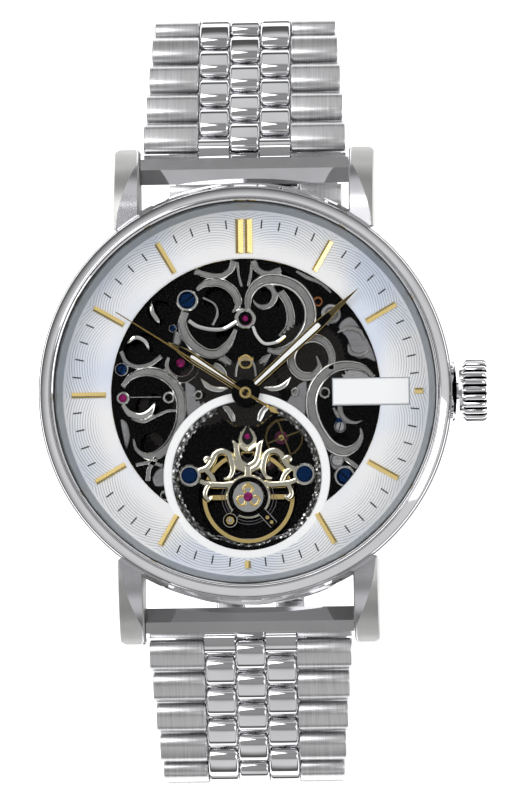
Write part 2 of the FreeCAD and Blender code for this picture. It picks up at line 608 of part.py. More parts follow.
centre_phase = mesh_phase(TEETH["third_pinion"], third_pinion_phase, TEETH["centre_wheel"],
                          heading(third, centre))
tube_bore = 0.22 + size("arborPlay")
minute_low, hour_low = size("minuteFoot"), size("hourFoot")
centre_solid = solid_of(
    gear(TEETH["centre_wheel"], centre_radius, centre_low, thin, centre_phase, bore=tube_bore, spokes=5),
    gear(TEETH["centre_pinion"], centre_pinion_radius, size("barrelFoot") + 0.42, 0.82, centre_phase,
         bore=tube_bore),
    gear(TEETH["cannon"], cannon_radius, plate_top_z + 0.05, 0.3, centre_phase, bore=tube_bore),
    shaft(0.45, centre_low, minute_low + size("handThickness")).cut(
        shaft(tube_bore, centre_low - 1, minute_low + 2)))
keep("centre_wheel", coded("centre_solid", centre_solid))

escape_phase = mesh_phase(TEETH["fourth_wheel"], 0, TEETH["escape_pinion"], heading(centre, escape))


def escape_teeth():
    """Fifteen hooked club teeth on a spoked disc."""
    root, tip, count = 1.72, 2.1, 15
    step = 2 * math.pi / count
    points = []
    for index in range(count):
        for radius, share in ((root, -0.3), (root, 0.1), (tip, 0.34), (tip, 0.5)):
            turn = (index + share) * step
            points.append(FreeCAD.Vector(radius * math.cos(turn), radius * math.sin(turn), 0))
    disc = Part.Face(Part.makePolygon(points + points[:1])).extrude(FreeCAD.Vector(0, 0, thin))
    opening = Part.makeCylinder(1.4, thin).cut(Part.makeCylinder(0.55, thin))
    for index in range(4):
        arm = Part.makeBox(2, 0.3, thin, FreeCAD.Vector(0, -0.15, 0))
        arm.rotate(FreeCAD.Vector(), FreeCAD.Vector(0, 0, 1), 90 * index)
        opening = opening.cut(arm)
    disc = disc.cut(opening)
    disc.translate(FreeCAD.Vector(0, 0, size("escapeFoot")))
    return disc


keep("escape_wheel", coded("escape_solid", solid_of(
    escape_teeth(), gear(TEETH["escape_pinion"], escape_pinion_radius, fourth_low - 0.05, 0.3, escape_phase),
    shaft(0.3, bridge_low + 0.05, plate_top_z), shaft(0.36, fourth_low, size("escapeFoot"))), *escape))

drum_low, drum_depth = size("barrelFoot"), size("barrelDepth")
barrel_phase = mesh_phase(TEETH["centre_pinion"], centre_phase, TEETH["barrel"],
                          heading(centre, barrel_place))
drum = solid_of(gear(TEETH["barrel"], barrel_radius, drum_low + 0.5, 0.4, barrel_phase),
                shaft(barrel_radius - 0.45, drum_low, drum_low + drum_depth))
drum = drum.cut([shaft(barrel_radius - 0.75, drum_low + 0.15, drum_low + drum_depth - 0.15),
                 shaft(0.9 + size("arborPlay"), drum_low - 1, drum_low + 3)])
keep("barrel", coded("barrel_solid", drum, *barrel_place))


def spiral_strip(inner, outer, turns, wall, low, high):
    """A flat coiled strip: its two edges are splines through evenly turned points."""
    edges = []
    count = int(turns * 8) + 1
    for shift in (0, wall):
        points = []
        for index in range(count):
            share = index / (count - 1)
            radius, turn = inner + (outer - inner) * share + shift, 2 * math.pi * turns * share
            points.append(FreeCAD.Vector(radius * math.cos(turn), radius * math.sin(turn), 0))
        curve = Part.BSplineCurve()
        curve.interpolate(points)
        edges.append(curve.toShape())
    ends = [Part.makeLine(edges[0].Vertexes[n].Point, edges[1].Vertexes[n].Point) for n in (0, 1)]
    face = Part.Face(Part.Wire(Part.__sortEdges__(edges + ends)))
    solid = face.extrude(FreeCAD.Vector(0, 0, high - low))
    solid.translate(FreeCAD.Vector(0, 0, low))
    return solid


keep("mainspring", coded("mainspring_solid", spiral_strip(
    2.4, barrel_radius - 1.0, 6, 0.15, drum_low + 0.2, drum_low + drum_depth - 0.2), *barrel_place))

ratchet_phase = 0.0
keep("ratchet_wheel", coded("ratchet_solid", solid_of(
    gear(TEETH["ratchet"], ratchet_radius, plate_top_z + 0.04, 0.24, ratchet_phase),
    shaft(0.9, bridge_low, plate_top_z + 0.04)), *barrel_place))
crown_phase = mesh_phase(TEETH["ratchet"], ratchet_phase, TEETH["crown_wheel"],
                         heading(barrel_place, crown_post))
keep("crown_wheel", coded("crown_wheel_solid", gear(
    TEETH["crown_wheel"], crown_wheel_radius, plate_top_z + 0.04, 0.24, crown_phase,
    bore=arbor + size("arborPlay")), *crown_post))

minute_phase = mesh_phase(TEETH["cannon"], centre_phase, TEETH["minute_wheel"],
                          heading(centre, minute_post))
keep("minute_wheel", coded("minute_wheel_solid", solid_of(
    gear(TEETH["minute_wheel"], minute_radius, plate_top_z + 0.05, 0.22, minute_phase,
         bore=arbor + size("arborPlay")),
    gear(TEETH["minute_pinion"], minute_pinion_radius, plate_top_z + 0.27, 0.28, minute_phase,
         bore=arbor + size("arborPlay"))), *minute_post))
hour_phase = mesh_phase(TEETH["minute_pinion"], minute_phase, TEETH["hour_wheel"],
                        heading(minute_post, centre))
hour_bore = 0.45 + size("handPlay")
keep("hour_wheel", coded("hour_wheel_solid", solid_of(
    gear(TEETH["hour_wheel"], hour_radius, plate_top_z + 0.4, 0.15, hour_phase, bore=hour_bore),
    shaft(0.72, plate_top_z + 0.4, hour_low + size("handThickness")).cut(
        shaft(hour_bore, plate_top_z, hour_low + 2)))))


# ---- escapement and balance ----

def pallet_fork():
    """Lever with two pallet arms, a forked end towards the balance and its arbor."""
    low, thickness = size("palletFoot"), 0.3
    to_balance = heading(ARBORS["pallet"], ARBORS["balance"])
    reach = spacing(ARBORS["pallet"], ARBORS["balance"]) - 1.15
    lever = Part.makeBox(reach, 0.36, thickness, FreeCAD.Vector(0, -0.18, low))
    lever = lever.cut(Part.makeBox(0.5, 0.16, 1, FreeCAD.Vector(reach - 0.4, -0.08, low - 0.3)))
    arms = Part.makeBox(0.4, 3.0, thickness, FreeCAD.Vector(-0.35, -1.5, low))
    whole = solid_of(lever, arms, shaft(0.45, low, low + thickness), shaft(arbor, bridge_low + 0.05, size("plateFoot-0.03")))
    whole.rotate(FreeCAD.Vector(), FreeCAD.Vector(0, 0, 1), math.degrees(to_balance))
    return whole


keep("pallet_fork", coded("pallet_solid", pallet_fork(), *ARBORS["pallet"]))


def balance_wheel():
    outer, rim = size("balanceRadius"), size("balanceRim")
    low, high = size("balanceFoot"), size("balanceFoot+balanceHeight")
    wheel = shaft(outer, low, high).cut(shaft(outer - rim, low - 1, high + 1))
    arms = [Part.makeBox(2 * (outer - rim / 2), 0.5, 0.25, FreeCAD.Vector(-(outer - rim / 2), -0.25, low + 0.1))]
    roller = shaft(0.7, low - 0.7, low - 0.5)
    pin = Part.makeCylinder(0.09, 0.9, FreeCAD.Vector(0.55, 0, low - 1.3))
    staff = shaft(arbor, bridge_low + 0.05, size("cockFoot") + 0.4)
    hub = shaft(0.6, low, low + 0.45)
    return solid_of(wheel, *arms, hub, staff, roller, pin)


keep("balance_wheel", coded("balance_solid", balance_wheel(), *ARBORS["balance"]))
keep("hairspring", coded("hairspring_solid", spiral_strip(
    0.75, size("springOuter"), 7, 0.06, size("springFoot"), size("springFoot") + 0.15), *ARBORS["balance"]))
keep("click", coded("click_solid", solid_of(
    shaft(0.95, plate_top_z + 0.04, plate_top_z + 0.28),
    Part.makeBox(1.25, 0.5, 0.24, FreeCAD.Vector(0, -0.25, plate_top_z + 0.04))).cut(
        shaft(arbor + size("arborPlay"), plate_top_z - 1, plate_top_z + 2)), *ARBORS.get("click", (
            "clickX", "clickY")), angle=-115))


# ---- hands ----

def hand(outline, low, hub, bore, clockwise):
    """A flat hand pointing to +Y before it is turned to its hour."""
    thickness = size("handThickness")
    points = [FreeCAD.Vector(x, y, 0) for x, y in outline]
    blade = Part.Face(Part.makePolygon(points + points[:1])).extrude(FreeCAD.Vector(0, 0, thickness))
    whole = solid_of(blade, Part.makeCylinder(hub, thickness))
    whole = whole.cut(Part.makeCylinder(bore, 3, FreeCAD.Vector(0, 0, -1)))
    whole.translate(FreeCAD.Vector(0, 0, low))
    whole.rotate(FreeCAD.Vector(), FreeCAD.Vector(0, 0, 1), -clockwise)
    return whole


def dagger(length, root, widest, shoulder, tail=0.0):
    half_root, half_wide = root / 2, widest / 2
    return [(-half_root, -tail), (half_root, -tail), (half_wide, shoulder), (0.04, length),
            (-0.04, length), (-half_wide, shoulder)]


keep("hour_hand", coded("hour_hand_solid", hand(
    dagger(size("hourLength"), 0.7, 1.25, 7.4), hour_low, size("hubRadius"), 0.72, HOUR_ANGLE)))
keep("minute_hand", coded("minute_hand_solid", hand(
    dagger(size("minuteLength"), 0.6, 1.05, 10.8), minute_low, size("hubRadius") - 0.1, 0.45, MINUTE_ANGLE)))
needle = [(-0.13, -size("secondTail") + 1.5), (-0.3, -size("secondTail") + 0.7), (0, -size("secondTail")),
          (0.3, -size("secondTail") + 0.7), (0.13, -size("secondTail") + 1.5), (0.09, 3.0),
          (0.05, size("secondLength")), (-0.05, size("secondLength")), (-0.09, 3.0)]
keep("seconds_hand", coded("seconds_hand_solid", hand(needle, hand_top, 0.55, 0.22, SECONDS_ANGLE)))


# ---- winding ----

def crown():
    """A fluted knob with a domed end, turned about X."""
    radius, length, start = size("crownRadius"), size("crownLength"), size("caseRadius+crownGap")
    profile = [(0, 0), (radius - 0.35, 0), (radius, 0.35), (radius, length - 0.5), (radius - 0.5, length),
               (0, length + 0.3)]
    points = [FreeCAD.Vector(x, 0, r) for r, x in profile]
    turned = Part.Face(Part.makePolygon(points + points[:1])).revolve(
        FreeCAD.Vector(), FreeCAD.Vector(1, 0, 0), 360)
    turned = turned.cut(Part.makeCylinder(1.6, 1.3, FreeCAD.Vector(-0.1, 0, 0), FreeCAD.Vector(1, 0, 0)))
    flutes = []
    for index in range(26):
        turn = 2 * math.pi * index / 26
        flute = Part.makeCylinder(0.17, length - 0.5, FreeCAD.Vector(
            0.1, (radius + 0.03) * math.cos(turn), (radius + 0.03) * math.sin(turn)), FreeCAD.Vector(1, 0, 0))
        flutes.append(flute)
    whole = turned.cut(flutes)
    whole.translate(FreeCAD.Vector(start, 0, size("stemHeight")))
    return whole


def stem():
    height = size("stemHeight")
    inner, outer = size("stemInner"), size("caseRadius+crownGap+1.2")
    bar = Part.makeCylinder(size("stemRadius"), outer - inner, FreeCAD.Vector(inner, 0, height),
                            FreeCAD.Vector(1, 0, 0))
    pinion = Part.makeCylinder(size("pinionRadius"), 1.2, FreeCAD.Vector(inner + 0.2, 0, height),
                               FreeCAD.Vector(1, 0, 0))
    return solid_of(bar, pinion)


keep("crown", coded("crown_solid", crown()))
keep("winding_stem", coded("stem_solid", stem()))
seal_start = size("caseRadius+crownGap")
keep("crown_seal", coded("seal_solid", Part.makeCylinder(1.55, 0.5, FreeCAD.Vector(
    seal_start + 0.6, 0, size("stemHeight")), FreeCAD.Vector(1, 0, 0)).cut(Part.makeCylinder(
        0.6, 3, FreeCAD.Vector(seal_start - 1, 0, size("stemHeight")), FreeCAD.Vector(1, 0, 0)))))


# ---- rotor ----

def rotor():
    low, web, rim = size("rotorFoot"), size("rotorWeb"), size("rotorRim")
    radius, width, hub = size("rotorRadius"), size("rotorRimWidth"), size("rotorHub")
    half = Part.makeBox(2 * radius + 2, radius + 1, 5, FreeCAD.Vector(-radius - 1, -radius - 1, 0))
    heavy = shaft(radius, low, low + rim).cut(shaft(radius - width, low - 1, low + 3)).common(half)
    thin_web = shaft(radius - width + 0.1, low + 0.2, low + 0.2 + web).common(half)
    slots = []
    for turn in (-130, -90, -50):
        where = FreeCAD.Vector(7.6 * math.cos(math.radians(turn)), 7.6 * math.sin(math.radians(turn)), 0)
        slots.append(Part.makeCylinder(1.9, 6, where))
    whole = solid_of(heavy, thin_web.cut(slots), shaft(hub, low, low + 0.8))
    return whole.cut(shaft(0.8 + size("arborPlay"), low - 1, low + 3))


keep("rotor", coded("rotor_solid", rotor()))


# ---- bracelet ----

def stadium(start, end, thickness, holes, width, left):
    """A link with round ends from start to end along Y, drilled across at the holes."""
    radius = thickness / 2
    a, b = FreeCAD.Vector(0, start + radius, radius), FreeCAD.Vector(0, end - radius, radius)
    c, d = FreeCAD.Vector(0, end - radius, -radius), FreeCAD.Vector(0, start + radius, -radius)
    edges = [Part.LineSegment(a, b).toShape(), Part.Arc(b, FreeCAD.Vector(0, end, 0), c).toShape(),
             Part.LineSegment(c, d).toShape(), Part.Arc(d, FreeCAD.Vector(0, start, 0), a).toShape()]
    solid = Part.Face(Part.Wire(edges)).extrude(FreeCAD.Vector(width, 0, 0))
    for where, hole in holes:
        solid = solid.cut(Part.makeCylinder(hole, width, FreeCAD.Vector(0, where, 0), FreeCAD.Vector(1, 0, 0)))
    solid.translate(FreeCAD.Vector(left, 0, 0))
    return solid


def columns(row):
    """Left edge, width and kind of each column of a row, from left to right."""
    outer = size("outerLink") - size("taperStep") * min(row, TAPERED_ROWS)
    inner, gap = size("innerLink"), size("columnGap")
    middle = inner / 2
    return [(-middle - inner - 2 * gap - outer, outer, "outer"), (-middle - inner - gap, inner, "between"),
            (-middle, inner, "outer"), (middle + gap, inner, "between"),
            (middle + inner + 2 * gap, outer, "outer")]


def row_solids(row, last=False):
    """One row in its own hinge frame: the hinge to the row before is at y = 0."""
    step, gap, thickness = size("linkPitch"), size("linkGap"), size("linkThickness")
    pin, play = size("pinRadius"), size("pinPlay")
    solids = []
    for left, width, kind in columns(row):
        if kind == "outer":
            holes = [(0, pin + play), (step / 2, pin)]
            solids.append(stadium(-step / 4 + gap / 2, 3 * step / 4 - gap / 2, thickness, holes, width, left))
        else:
            holes = [(step / 2, pin), (step, pin + play if last else pin)]
            solids.append(stadium(step / 4 + gap / 2, 5 * step / 4 - gap / 2, thickness, holes, width, left))
    reach = columns(row)[-1][0] + columns(row)[-1][1] - 0.1
    shorter = reach if row == 0 else reach - size("taperStep")
    solids.append(Part.makeCylinder(pin, 2 * reach, FreeCAD.Vector(-reach, step / 2, 0), FreeCAD.Vector(1, 0, 0)))
    if not last:
        solids.append(Part.makeCylinder(pin, 2 * shorter, FreeCAD.Vector(-shorter, step, 0),
                                        FreeCAD.Vector(1, 0, 0)))
    return solids


def hinge_places():
    """Hinge line of each row and one past the last, as (y, z) going down from 12 o'clock."""
    y, z = size("firstHingeY"), size("firstHingeZ")
    places = [(y, z)]
    for tilt in ROW_TILTS:
        y += size("linkPitch") * math.cos(math.radians(tilt))
        z -= size("linkPitch") * math.sin(math.radians(tilt))
        places.append((y, z))
    return places


HINGES = hinge_places()


def lay(solid, row):
    """Turns a row from its own frame to its place on the 12 o'clock side."""
    solid = solid.copy()
    solid.rotate(FreeCAD.Vector(), FreeCAD.Vector(1, 0, 0), -ROW_TILTS[row - 1])
    solid.translate(FreeCAD.Vector(0, *HINGES[row - 1]))
    return solid


def other_side(solid):
    return solid.mirror(FreeCAD.Vector(), FreeCAD.Vector(0, 1, 0))


def end_piece():
    """Straight end piece: a folded front, a crowned top and the two link ears of the first hinge."""
    half = size("lugInner") - 0.12
    foot, top, bar = size("endPieceFoot"), size("endPieceTop"), size("barOffset")
    hinge_y, hinge_z = HINGES[0]
    step, gap = size("linkPitch"), size("linkGap")
    rear = hinge_y - step / 4 - gap / 2
    outline = [FreeCAD.Vector(0, y, z) for y, z in (
        (bar - 1.6, foot + 0.3), (bar - 1.6, top - 1.0), (bar - 0.1, top), (rear - 0.5, top - 0.25),
        (rear, top - 1.0), (rear, foot + 0.4), (rear - 0.4, foot), (bar - 1.2, foot))]
    block = Part.Face(Part.makePolygon(outline + outline[:1])).extrude(FreeCAD.Vector(2 * half, 0, 0))
    block.translate(FreeCAD.Vector(-half, 0, 0))
    ears = []
    for left, width, kind in columns(0):
        if kind == "between":
            ear = stadium(rear - 1.0, hinge_y + step / 4 - gap / 2, size("linkThickness"), [], width, left)
            ear.translate(FreeCAD.Vector(0, 0, hinge_z))
            ears.append(ear)
    whole = solid_of(block, *ears)
    tools = [Part.makeCylinder(size("barRadius") + 0.04, 2 * half, FreeCAD.Vector(-half, bar, size("barHeight")),
                               FreeCAD.Vector(1, 0, 0)),
             Part.makeCylinder(size("pinRadius"), 2 * half, FreeCAD.Vector(-half, hinge_y, hinge_z),
                               FreeCAD.Vector(1, 0, 0))]
    reach = columns(1)[-1][0] + columns(1)[-1][1] - 0.1
    pin = Part.makeCylinder(size("pinRadius"), 2 * reach, FreeCAD.Vector(-reach, hinge_y, hinge_z),
                            FreeCAD.Vector(1, 0, 0))
    return [whole.cut(tools), pin]


end_solids = end_piece()
keep("end_piece_12", coded("end_piece_12_solid", Part.makeCompound(end_solids)))
keep("end_piece_6", coded("end_piece_6_solid", Part.makeCompound([other_side(s) for s in end_solids])))
for number, rows in enumerate(ROW_GROUPS["12"], start=1):
    solids = [lay(solid, row) for row in rows for solid in row_solids(row, last=row == len(ROW_TILTS))]
    keep(f"link_12_{number}", coded(f"link_12_{number}_solid", Part.makeCompound(solids)))
for number, rows in enumerate(ROW_GROUPS["6"], start=1):
    solids = [other_side(lay(solid, row)) for row in rows for solid in row_solids(row)]
    keep(f"link_6_{number}", coded(f"link_6_{number}_solid", Part.makeCompound(solids)))


# ---- clasp ----
CLASP_Y, CLASP_Z = HINGES[-1]  # the cover's hinge line on the 12 o'clock side


def plate(low_y, high_y, low_z, high_z, half_width):
    return Part.makeBox(2 * half_width, high_y - low_y, high_z - low_z,
                        FreeCAD.Vector(-half_width, low_y, low_z))


def cross_rod(radius, y, z, half_width):
    return Part.makeCylinder(radius, 2 * half_width, FreeCAD.Vector(-half_width, y, z),
                             FreeCAD.Vector(1, 0, 0))


half_cover, half_blade = size("coverWidth/2"), size("bladeWidth/2")
cover_wall, blade_wall, play = size("coverThickness"), size("bladeThickness"), size("claspPlay")
pin, pin_play = size("pinRadius"), size("pinPlay")
link_half = size("linkThickness/2")
cover_low = CLASP_Z - link_half - play - cover_wall
cover_end = CLASP_Y + 1.0
cover_short = CLASP_Y - 2.2  # clear of the 6 o'clock links as they open
button_z = CLASP_Z - 0.3


def clasp_cover():
    """The outer cover: a tray with two side walls, an ear at the 12 o'clock end and a cross pin."""
    floor = plate(-cover_short, cover_end, cover_low, cover_low + cover_wall, half_cover)
    walls = [plate(-cover_end + 8, cover_end - 3, cover_low, CLASP_Z + link_half - 0.2, 0.45)
             for _ in (0, 1)]
    walls[0].translate(FreeCAD.Vector(half_cover - 0.45, 0, 0))
    walls[1].translate(FreeCAD.Vector(0.45 - half_cover, 0, 0))
    ear = plate(CLASP_Y - 1.0, CLASP_Y + 0.9, cover_low, CLASP_Z + 0.8, size("innerLink/2") - 0.1)
    whole = solid_of(floor, *walls, ear)
    holes = [Part.makeCylinder(size("buttonRadius") + 0.05, 2 * half_cover + 2, FreeCAD.Vector(
        -half_cover - 1, 0, button_z), FreeCAD.Vector(1, 0, 0)), cross_rod(pin, CLASP_Y, CLASP_Z, half_cover)]
    return [whole.cut(holes), cross_rod(pin, CLASP_Y, CLASP_Z, size("innerLink") * 1.5)]


def folding_blade(low_y, high_y, level, hole_at):
    blade = plate(low_y, high_y, level, level + blade_wall, half_blade)
    knuckle = cross_rod(0.75, hole_at, level + blade_wall / 2, half_blade)
    return solid_of(blade, knuckle).cut(cross_rod(pin + pin_play, hole_at, level + blade_wall / 2, half_blade))


blade_one_z = cover_low + cover_wall + play + 0.5
blade_two_z = blade_one_z + blade_wall + 0.9
far_end, near_end = -CLASP_Y + 5.5, CLASP_Y - 5.5


def cover_lug():
    """Two side ears on the cover that hold the first blade's pin."""
    ears = []
    for side in (-1, 1):
        ear = plate(far_end - 0.9, far_end + 0.9, cover_low + cover_wall - 0.05, blade_one_z + blade_wall + 0.3, 0.6)
        ear.translate(FreeCAD.Vector(side * (half_blade + 0.75), 0, 0))
        ears.append(ear)
    return ears


cover_solids = clasp_cover()
joint_pin = cross_rod(pin, far_end, blade_one_z + blade_wall / 2, half_blade + 1.2)
cover_main = solid_of(cover_solids[0], *cover_lug()).cut(joint_pin)
keep("clasp_cover", coded("clasp_cover_solid", Part.makeCompound([cover_main, cover_solids[1], joint_pin])))
blade_one = folding_blade(far_end, near_end, blade_one_z, far_end)
fork = [plate(near_end - 0.05, near_end + 1.6, blade_one_z, blade_two_z + blade_wall + 0.3, 0.5) for _ in (0, 1)]
for side, ear in zip((-1, 1), fork):
    ear.translate(FreeCAD.Vector(side * (half_blade - 0.5), 0, 0))
mid_pin = cross_rod(pin, near_end + 0.8, blade_two_z + blade_wall / 2, half_blade)
blade_one = solid_of(blade_one, *fork).cut(mid_pin)
keep("clasp_blade_outer", coded("blade_one_solid", Part.makeCompound([blade_one, mid_pin])))
blade_two = plate(far_end + 1.4, near_end + 0.8, blade_two_z, blade_two_z + blade_wall, half_blade - 1.1)
knuckle = cross_rod(0.75, near_end + 0.8, blade_two_z + blade_wall / 2, half_blade - 1.1)
blade_two = solid_of(blade_two, knuckle).cut(
    cross_rod(pin + pin_play, near_end + 0.8, blade_two_z + blade_wall / 2, half_blade))
keep("clasp_blade_inner", coded("blade_two_solid", blade_two))
for side, name in ((1, "clasp_button_right"), (-1, "clasp_button_left")):
    start = half_cover - 0.9
    button = Part.makeCylinder(size("buttonRadius"), 0.9 + size("buttonTravel"), FreeCAD.Vector(start, 0, button_z),
                               FreeCAD.Vector(1, 0, 0))
    if side < 0:
        button = button.mirror(FreeCAD.Vector(), FreeCAD.Vector(1, 0, 0))
    keep(name, coded(name + "_solid", button))


# ---- check and write ----
doc.recompute()
for item in doc.Objects:
    if "Invalid" in item.State or "Error" in item.State:
        raise RuntimeError(f"{item.Name} failed: {item.State}")
os.makedirs("parts", exist_ok=True)
for node, item in made.items():
    if item.Shape.isNull() or not item.Shape.isValid():
        raise RuntimeError(f"{node} has no valid shape")
    item.Shape.exportStep(f"parts/{node}.step")
print(len(made), "sub-parts; clasp hinge at", round(CLASP_Y, 2), round(CLASP_Z, 2))
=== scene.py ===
import math

import bmesh
import bpy
from mathutils import Matrix, Vector


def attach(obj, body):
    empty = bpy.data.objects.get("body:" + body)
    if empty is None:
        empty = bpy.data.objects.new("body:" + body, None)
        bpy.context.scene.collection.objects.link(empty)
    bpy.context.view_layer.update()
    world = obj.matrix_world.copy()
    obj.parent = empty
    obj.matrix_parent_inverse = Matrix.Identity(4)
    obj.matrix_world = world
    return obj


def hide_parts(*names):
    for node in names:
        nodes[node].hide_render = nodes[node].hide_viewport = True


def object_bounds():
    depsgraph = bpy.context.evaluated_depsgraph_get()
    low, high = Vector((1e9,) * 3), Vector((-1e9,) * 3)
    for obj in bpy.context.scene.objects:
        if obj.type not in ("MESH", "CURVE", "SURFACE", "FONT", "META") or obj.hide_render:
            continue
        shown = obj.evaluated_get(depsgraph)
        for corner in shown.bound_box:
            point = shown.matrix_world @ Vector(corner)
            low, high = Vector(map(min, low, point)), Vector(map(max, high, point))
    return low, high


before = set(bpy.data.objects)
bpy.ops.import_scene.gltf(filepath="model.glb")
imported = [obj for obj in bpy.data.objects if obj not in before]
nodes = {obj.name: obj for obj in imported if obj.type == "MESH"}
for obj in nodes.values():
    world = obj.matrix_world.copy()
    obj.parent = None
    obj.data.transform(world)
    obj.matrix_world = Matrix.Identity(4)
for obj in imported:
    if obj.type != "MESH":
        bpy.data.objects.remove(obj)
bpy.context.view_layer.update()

mm = 0.001


# ---- shader groups ----

def feedNode(tree, node, feed):
    for key, value in feed.items():
        if isinstance(value, bpy.types.NodeSocket):
            tree.links.new(value, node.inputs[key])
        else:
            node.inputs[key].default_value = value


def addNode(tree, kind, feed=None, **settings):
    node = tree.nodes.new(kind)
    for key, value in settings.items():
        setattr(node, key, value)
    feedNode(tree, node, feed or {})
    return node


def mathNode(tree, operation, first, second=None):
    feed = {0: first} if second is None else {0: first, 1: second}
    return addNode(tree, "ShaderNodeMath", feed, operation=operation).outputs[0]


def mapNode(tree, value, **ends):
    feed = {key.replace("_", " "): end for key, end in ends.items()}
    return addNode(tree, "ShaderNodeMapRange", {"Value": value, **feed}).outputs[0]


def newGroup(name, inputs):
    group = bpy.data.node_groups.new(name, "ShaderNodeTree")
    for label, value in inputs.items():
        kind = "NodeSocketVector" if label == "Vector" else "NodeSocketFloat"
        group.interface.new_socket(name=label, in_out="INPUT", socket_type=kind).default_value = value
    group.interface.new_socket(name="Value", in_out="OUTPUT", socket_type="NodeSocketFloat")
    return group, addNode(group, "NodeGroupInput").outputs, addNode(group, "NodeGroupOutput")


def makeGrainGroup():
    group, given, result = newGroup("brushGrain", {"Vector": (0, 0, 0), "Across": 9000.0, "Along": 300.0})
    parts = addNode(group, "ShaderNodeSeparateXYZ", {0: given["Vector"]}).outputs
    scaled = [mathNode(group, "MULTIPLY", parts[k], given[way]) for k,
              way in enumerate(("Across", "Along", "Along"))]
    join = addNode(group, "ShaderNodeCombineXYZ", dict(enumerate(scaled)))
    noise = addNode(group, "ShaderNodeTexNoise", {"Scale": 1.0, "Detail": 3.0, "Vector": join.outputs[0]})
    feedNode(group, result, {0: noise.outputs[0]})
    return group


def makeWearGroup():
    group, given, result = newGroup("fineWear", {"Vector": (0, 0, 0), "Scale": 900.0, "Low": 0.1,
                                                 "High": 0.2})
    noise = addNode(group, "ShaderNodeTexNoise", {"Detail": 4.0, "Vector": given["Vector"],
                                                  "Scale": given["Scale"]})
    feedNode(group, result, {0: mapNode(group, noise.outputs[0], To_Min=given["Low"],
                                        To_Max=given["High"])})
    return group


grainGroup, wearGroup = makeGrainGroup(), makeWearGroup()


def useGroup(tree, group, **values):
    return addNode(tree, "ShaderNodeGroup", values, node_tree=group).outputs[0]


def wearOf(tree, place, scale, low=0.0, high=1.0):
    return useGroup(tree, wearGroup, Vector=place, Scale=scale, Low=low, High=high)


def startMaterial(name, color, metallic=1.0, roughness=0.2, **sockets):
    material = bpy.data.materials.new(name)
    material.use_nodes = True
    tree = material.node_tree
    shader = tree.nodes["Principled BSDF"]
    feedNode(tree, shader, {"Base Color": (*color, 1), "Metallic": metallic, "Roughness": roughness,
                            **{key.replace("_", " "): value for key, value in sockets.items()}})
    return material, tree, shader, addNode(tree, "ShaderNodeTexCoord").outputs["Object"]


def addBump(tree, shader, height, strength, distance):
    bump = addNode(tree, "ShaderNodeBump", {"Strength": strength, "Distance": distance, "Height": height})
    feedNode(tree, shader, {"Normal": bump.outputs[0]})


def rampNode(tree, value, stops):
    ramp = addNode(tree, "ShaderNodeValToRGB", {0: value})
    elements = ramp.color_ramp.elements
    while len(elements) < len(stops):
        elements.new(0.5)
    for element, (position, color) in zip(elements, stops):
        element.position = position
        element.color = (*color, 1)
    return ramp.outputs[0]


def metal(name, color, low=0.05, high=0.14, wearScale=900.0, bump=0.0):
    material, tree, shader, place = startMaterial(name, color)
    wear = wearOf(tree, place, wearScale, low, high)
    dark = tuple(c * 0.88 for c in color)
    tone = rampNode(tree, wearOf(tree, place, wearScale / 6), [(0.3, dark), (0.7, color)])
    feedNode(tree, shader, {"Roughness": wear, "Base Color": tone})
    if bump:
        addBump(tree, shader, wear, bump, 0.00002)
    return material


def brushed(name, color, across, along, low=0.22, high=0.42):
    material, tree, shader, place = startMaterial(name, color)
    grain = useGroup(tree, grainGroup, Vector=place, Across=across, Along=along)
    dark = tuple(c * 0.72 for c in color)
    feedNode(tree, shader, {"Roughness": mapNode(tree, grain, To_Min=low, To_Max=high),
                            "Base Color": rampNode(tree, grain, [(0.25, dark), (0.75, color)])})
    addBump(tree, shader, grain, 0.35, 0.00002)
    return material


def plain(name, color, roughness, scale, low, high, metallic=0.0, **sockets):
    material, tree, shader, place = startMaterial(name, color, metallic, roughness, **sockets)
    feedNode(tree, shader, {"Roughness": wearOf(tree, place, scale, low, high)})
    return material


polished = metal("polishedSteel", (0.74, 0.74, 0.755), 0.03, 0.08)
satinSteel = brushed("satinSteel", (0.62, 0.62, 0.63), 9000.0, 250.0)
goldPolish = metal("goldPolish", (1.0, 0.77, 0.32), 0.14, 0.26)
# gold darkened to a fifth as painted shade: the inner wall of the dial opening, the hand tips and the
# wheel face deep under the sub-dial
goldPaintedShade = metal("goldPaintedShade", (0.20, 0.155, 0.075), 0.12, 0.25)
giltPale = metal("giltPale", (0.90, 0.86, 0.70), 0.08, 0.18, 1500.0, 0.1)
wheelBrass = metal("wheelBrass", (0.58, 0.44, 0.18), 0.18, 0.32)
# near-black steel on the balance cock's insets; on the wheels deep under the openwork it is painted shade
darkSteelAndShade = metal("darkSteelAndShade", (0.045, 0.042, 0.04), 0.10, 0.24)
ribbonSteel = metal("ribbonSteel", (0.42, 0.42, 0.415), 0.16, 0.32, 1800.0, 0.15)
# bright steel, lighter than the polished steel: the real polished collars and rings, and a painted
# highlight on the ribbon rims and the regulator edges
brightSteelAndHighlight = metal("brightSteelAndHighlight", (0.86, 0.86, 0.84), 0.05, 0.14)
grainedSteel = brushed("grainedSteel", (0.46, 0.46, 0.47), 1500.0, 9000.0)
lugSatin = metal("lugSatin", (0.40, 0.40, 0.395), 0.38, 0.46, 2500.0, 0.1)
lugPolish = metal("lugPolish", (0.64, 0.64, 0.67), 0.2, 0.28)
plateSteel = brushed("plateSteel", (0.27, 0.27, 0.28), 1500.0, 9000.0, 0.26, 0.5)
bluedSteel = metal("bluedSteel", (0.012, 0.05, 0.17), 0.08, 0.2)
# near-black polished metal on the regulator, the movement plates and the hand hubs; also painted shade in
# the screw slots and crown grooves, and the painted dark reflection on the hands' bevels
blackPolishAndShade = metal("blackPolishAndShade", (0.012, 0.012, 0.013), 0.06, 0.16)
copperRing = metal("copperRing", (0.55, 0.25, 0.10), 0.15, 0.3)
springStrip = metal("springStrip", (0.35, 0.33, 0.36), 0.1, 0.2)


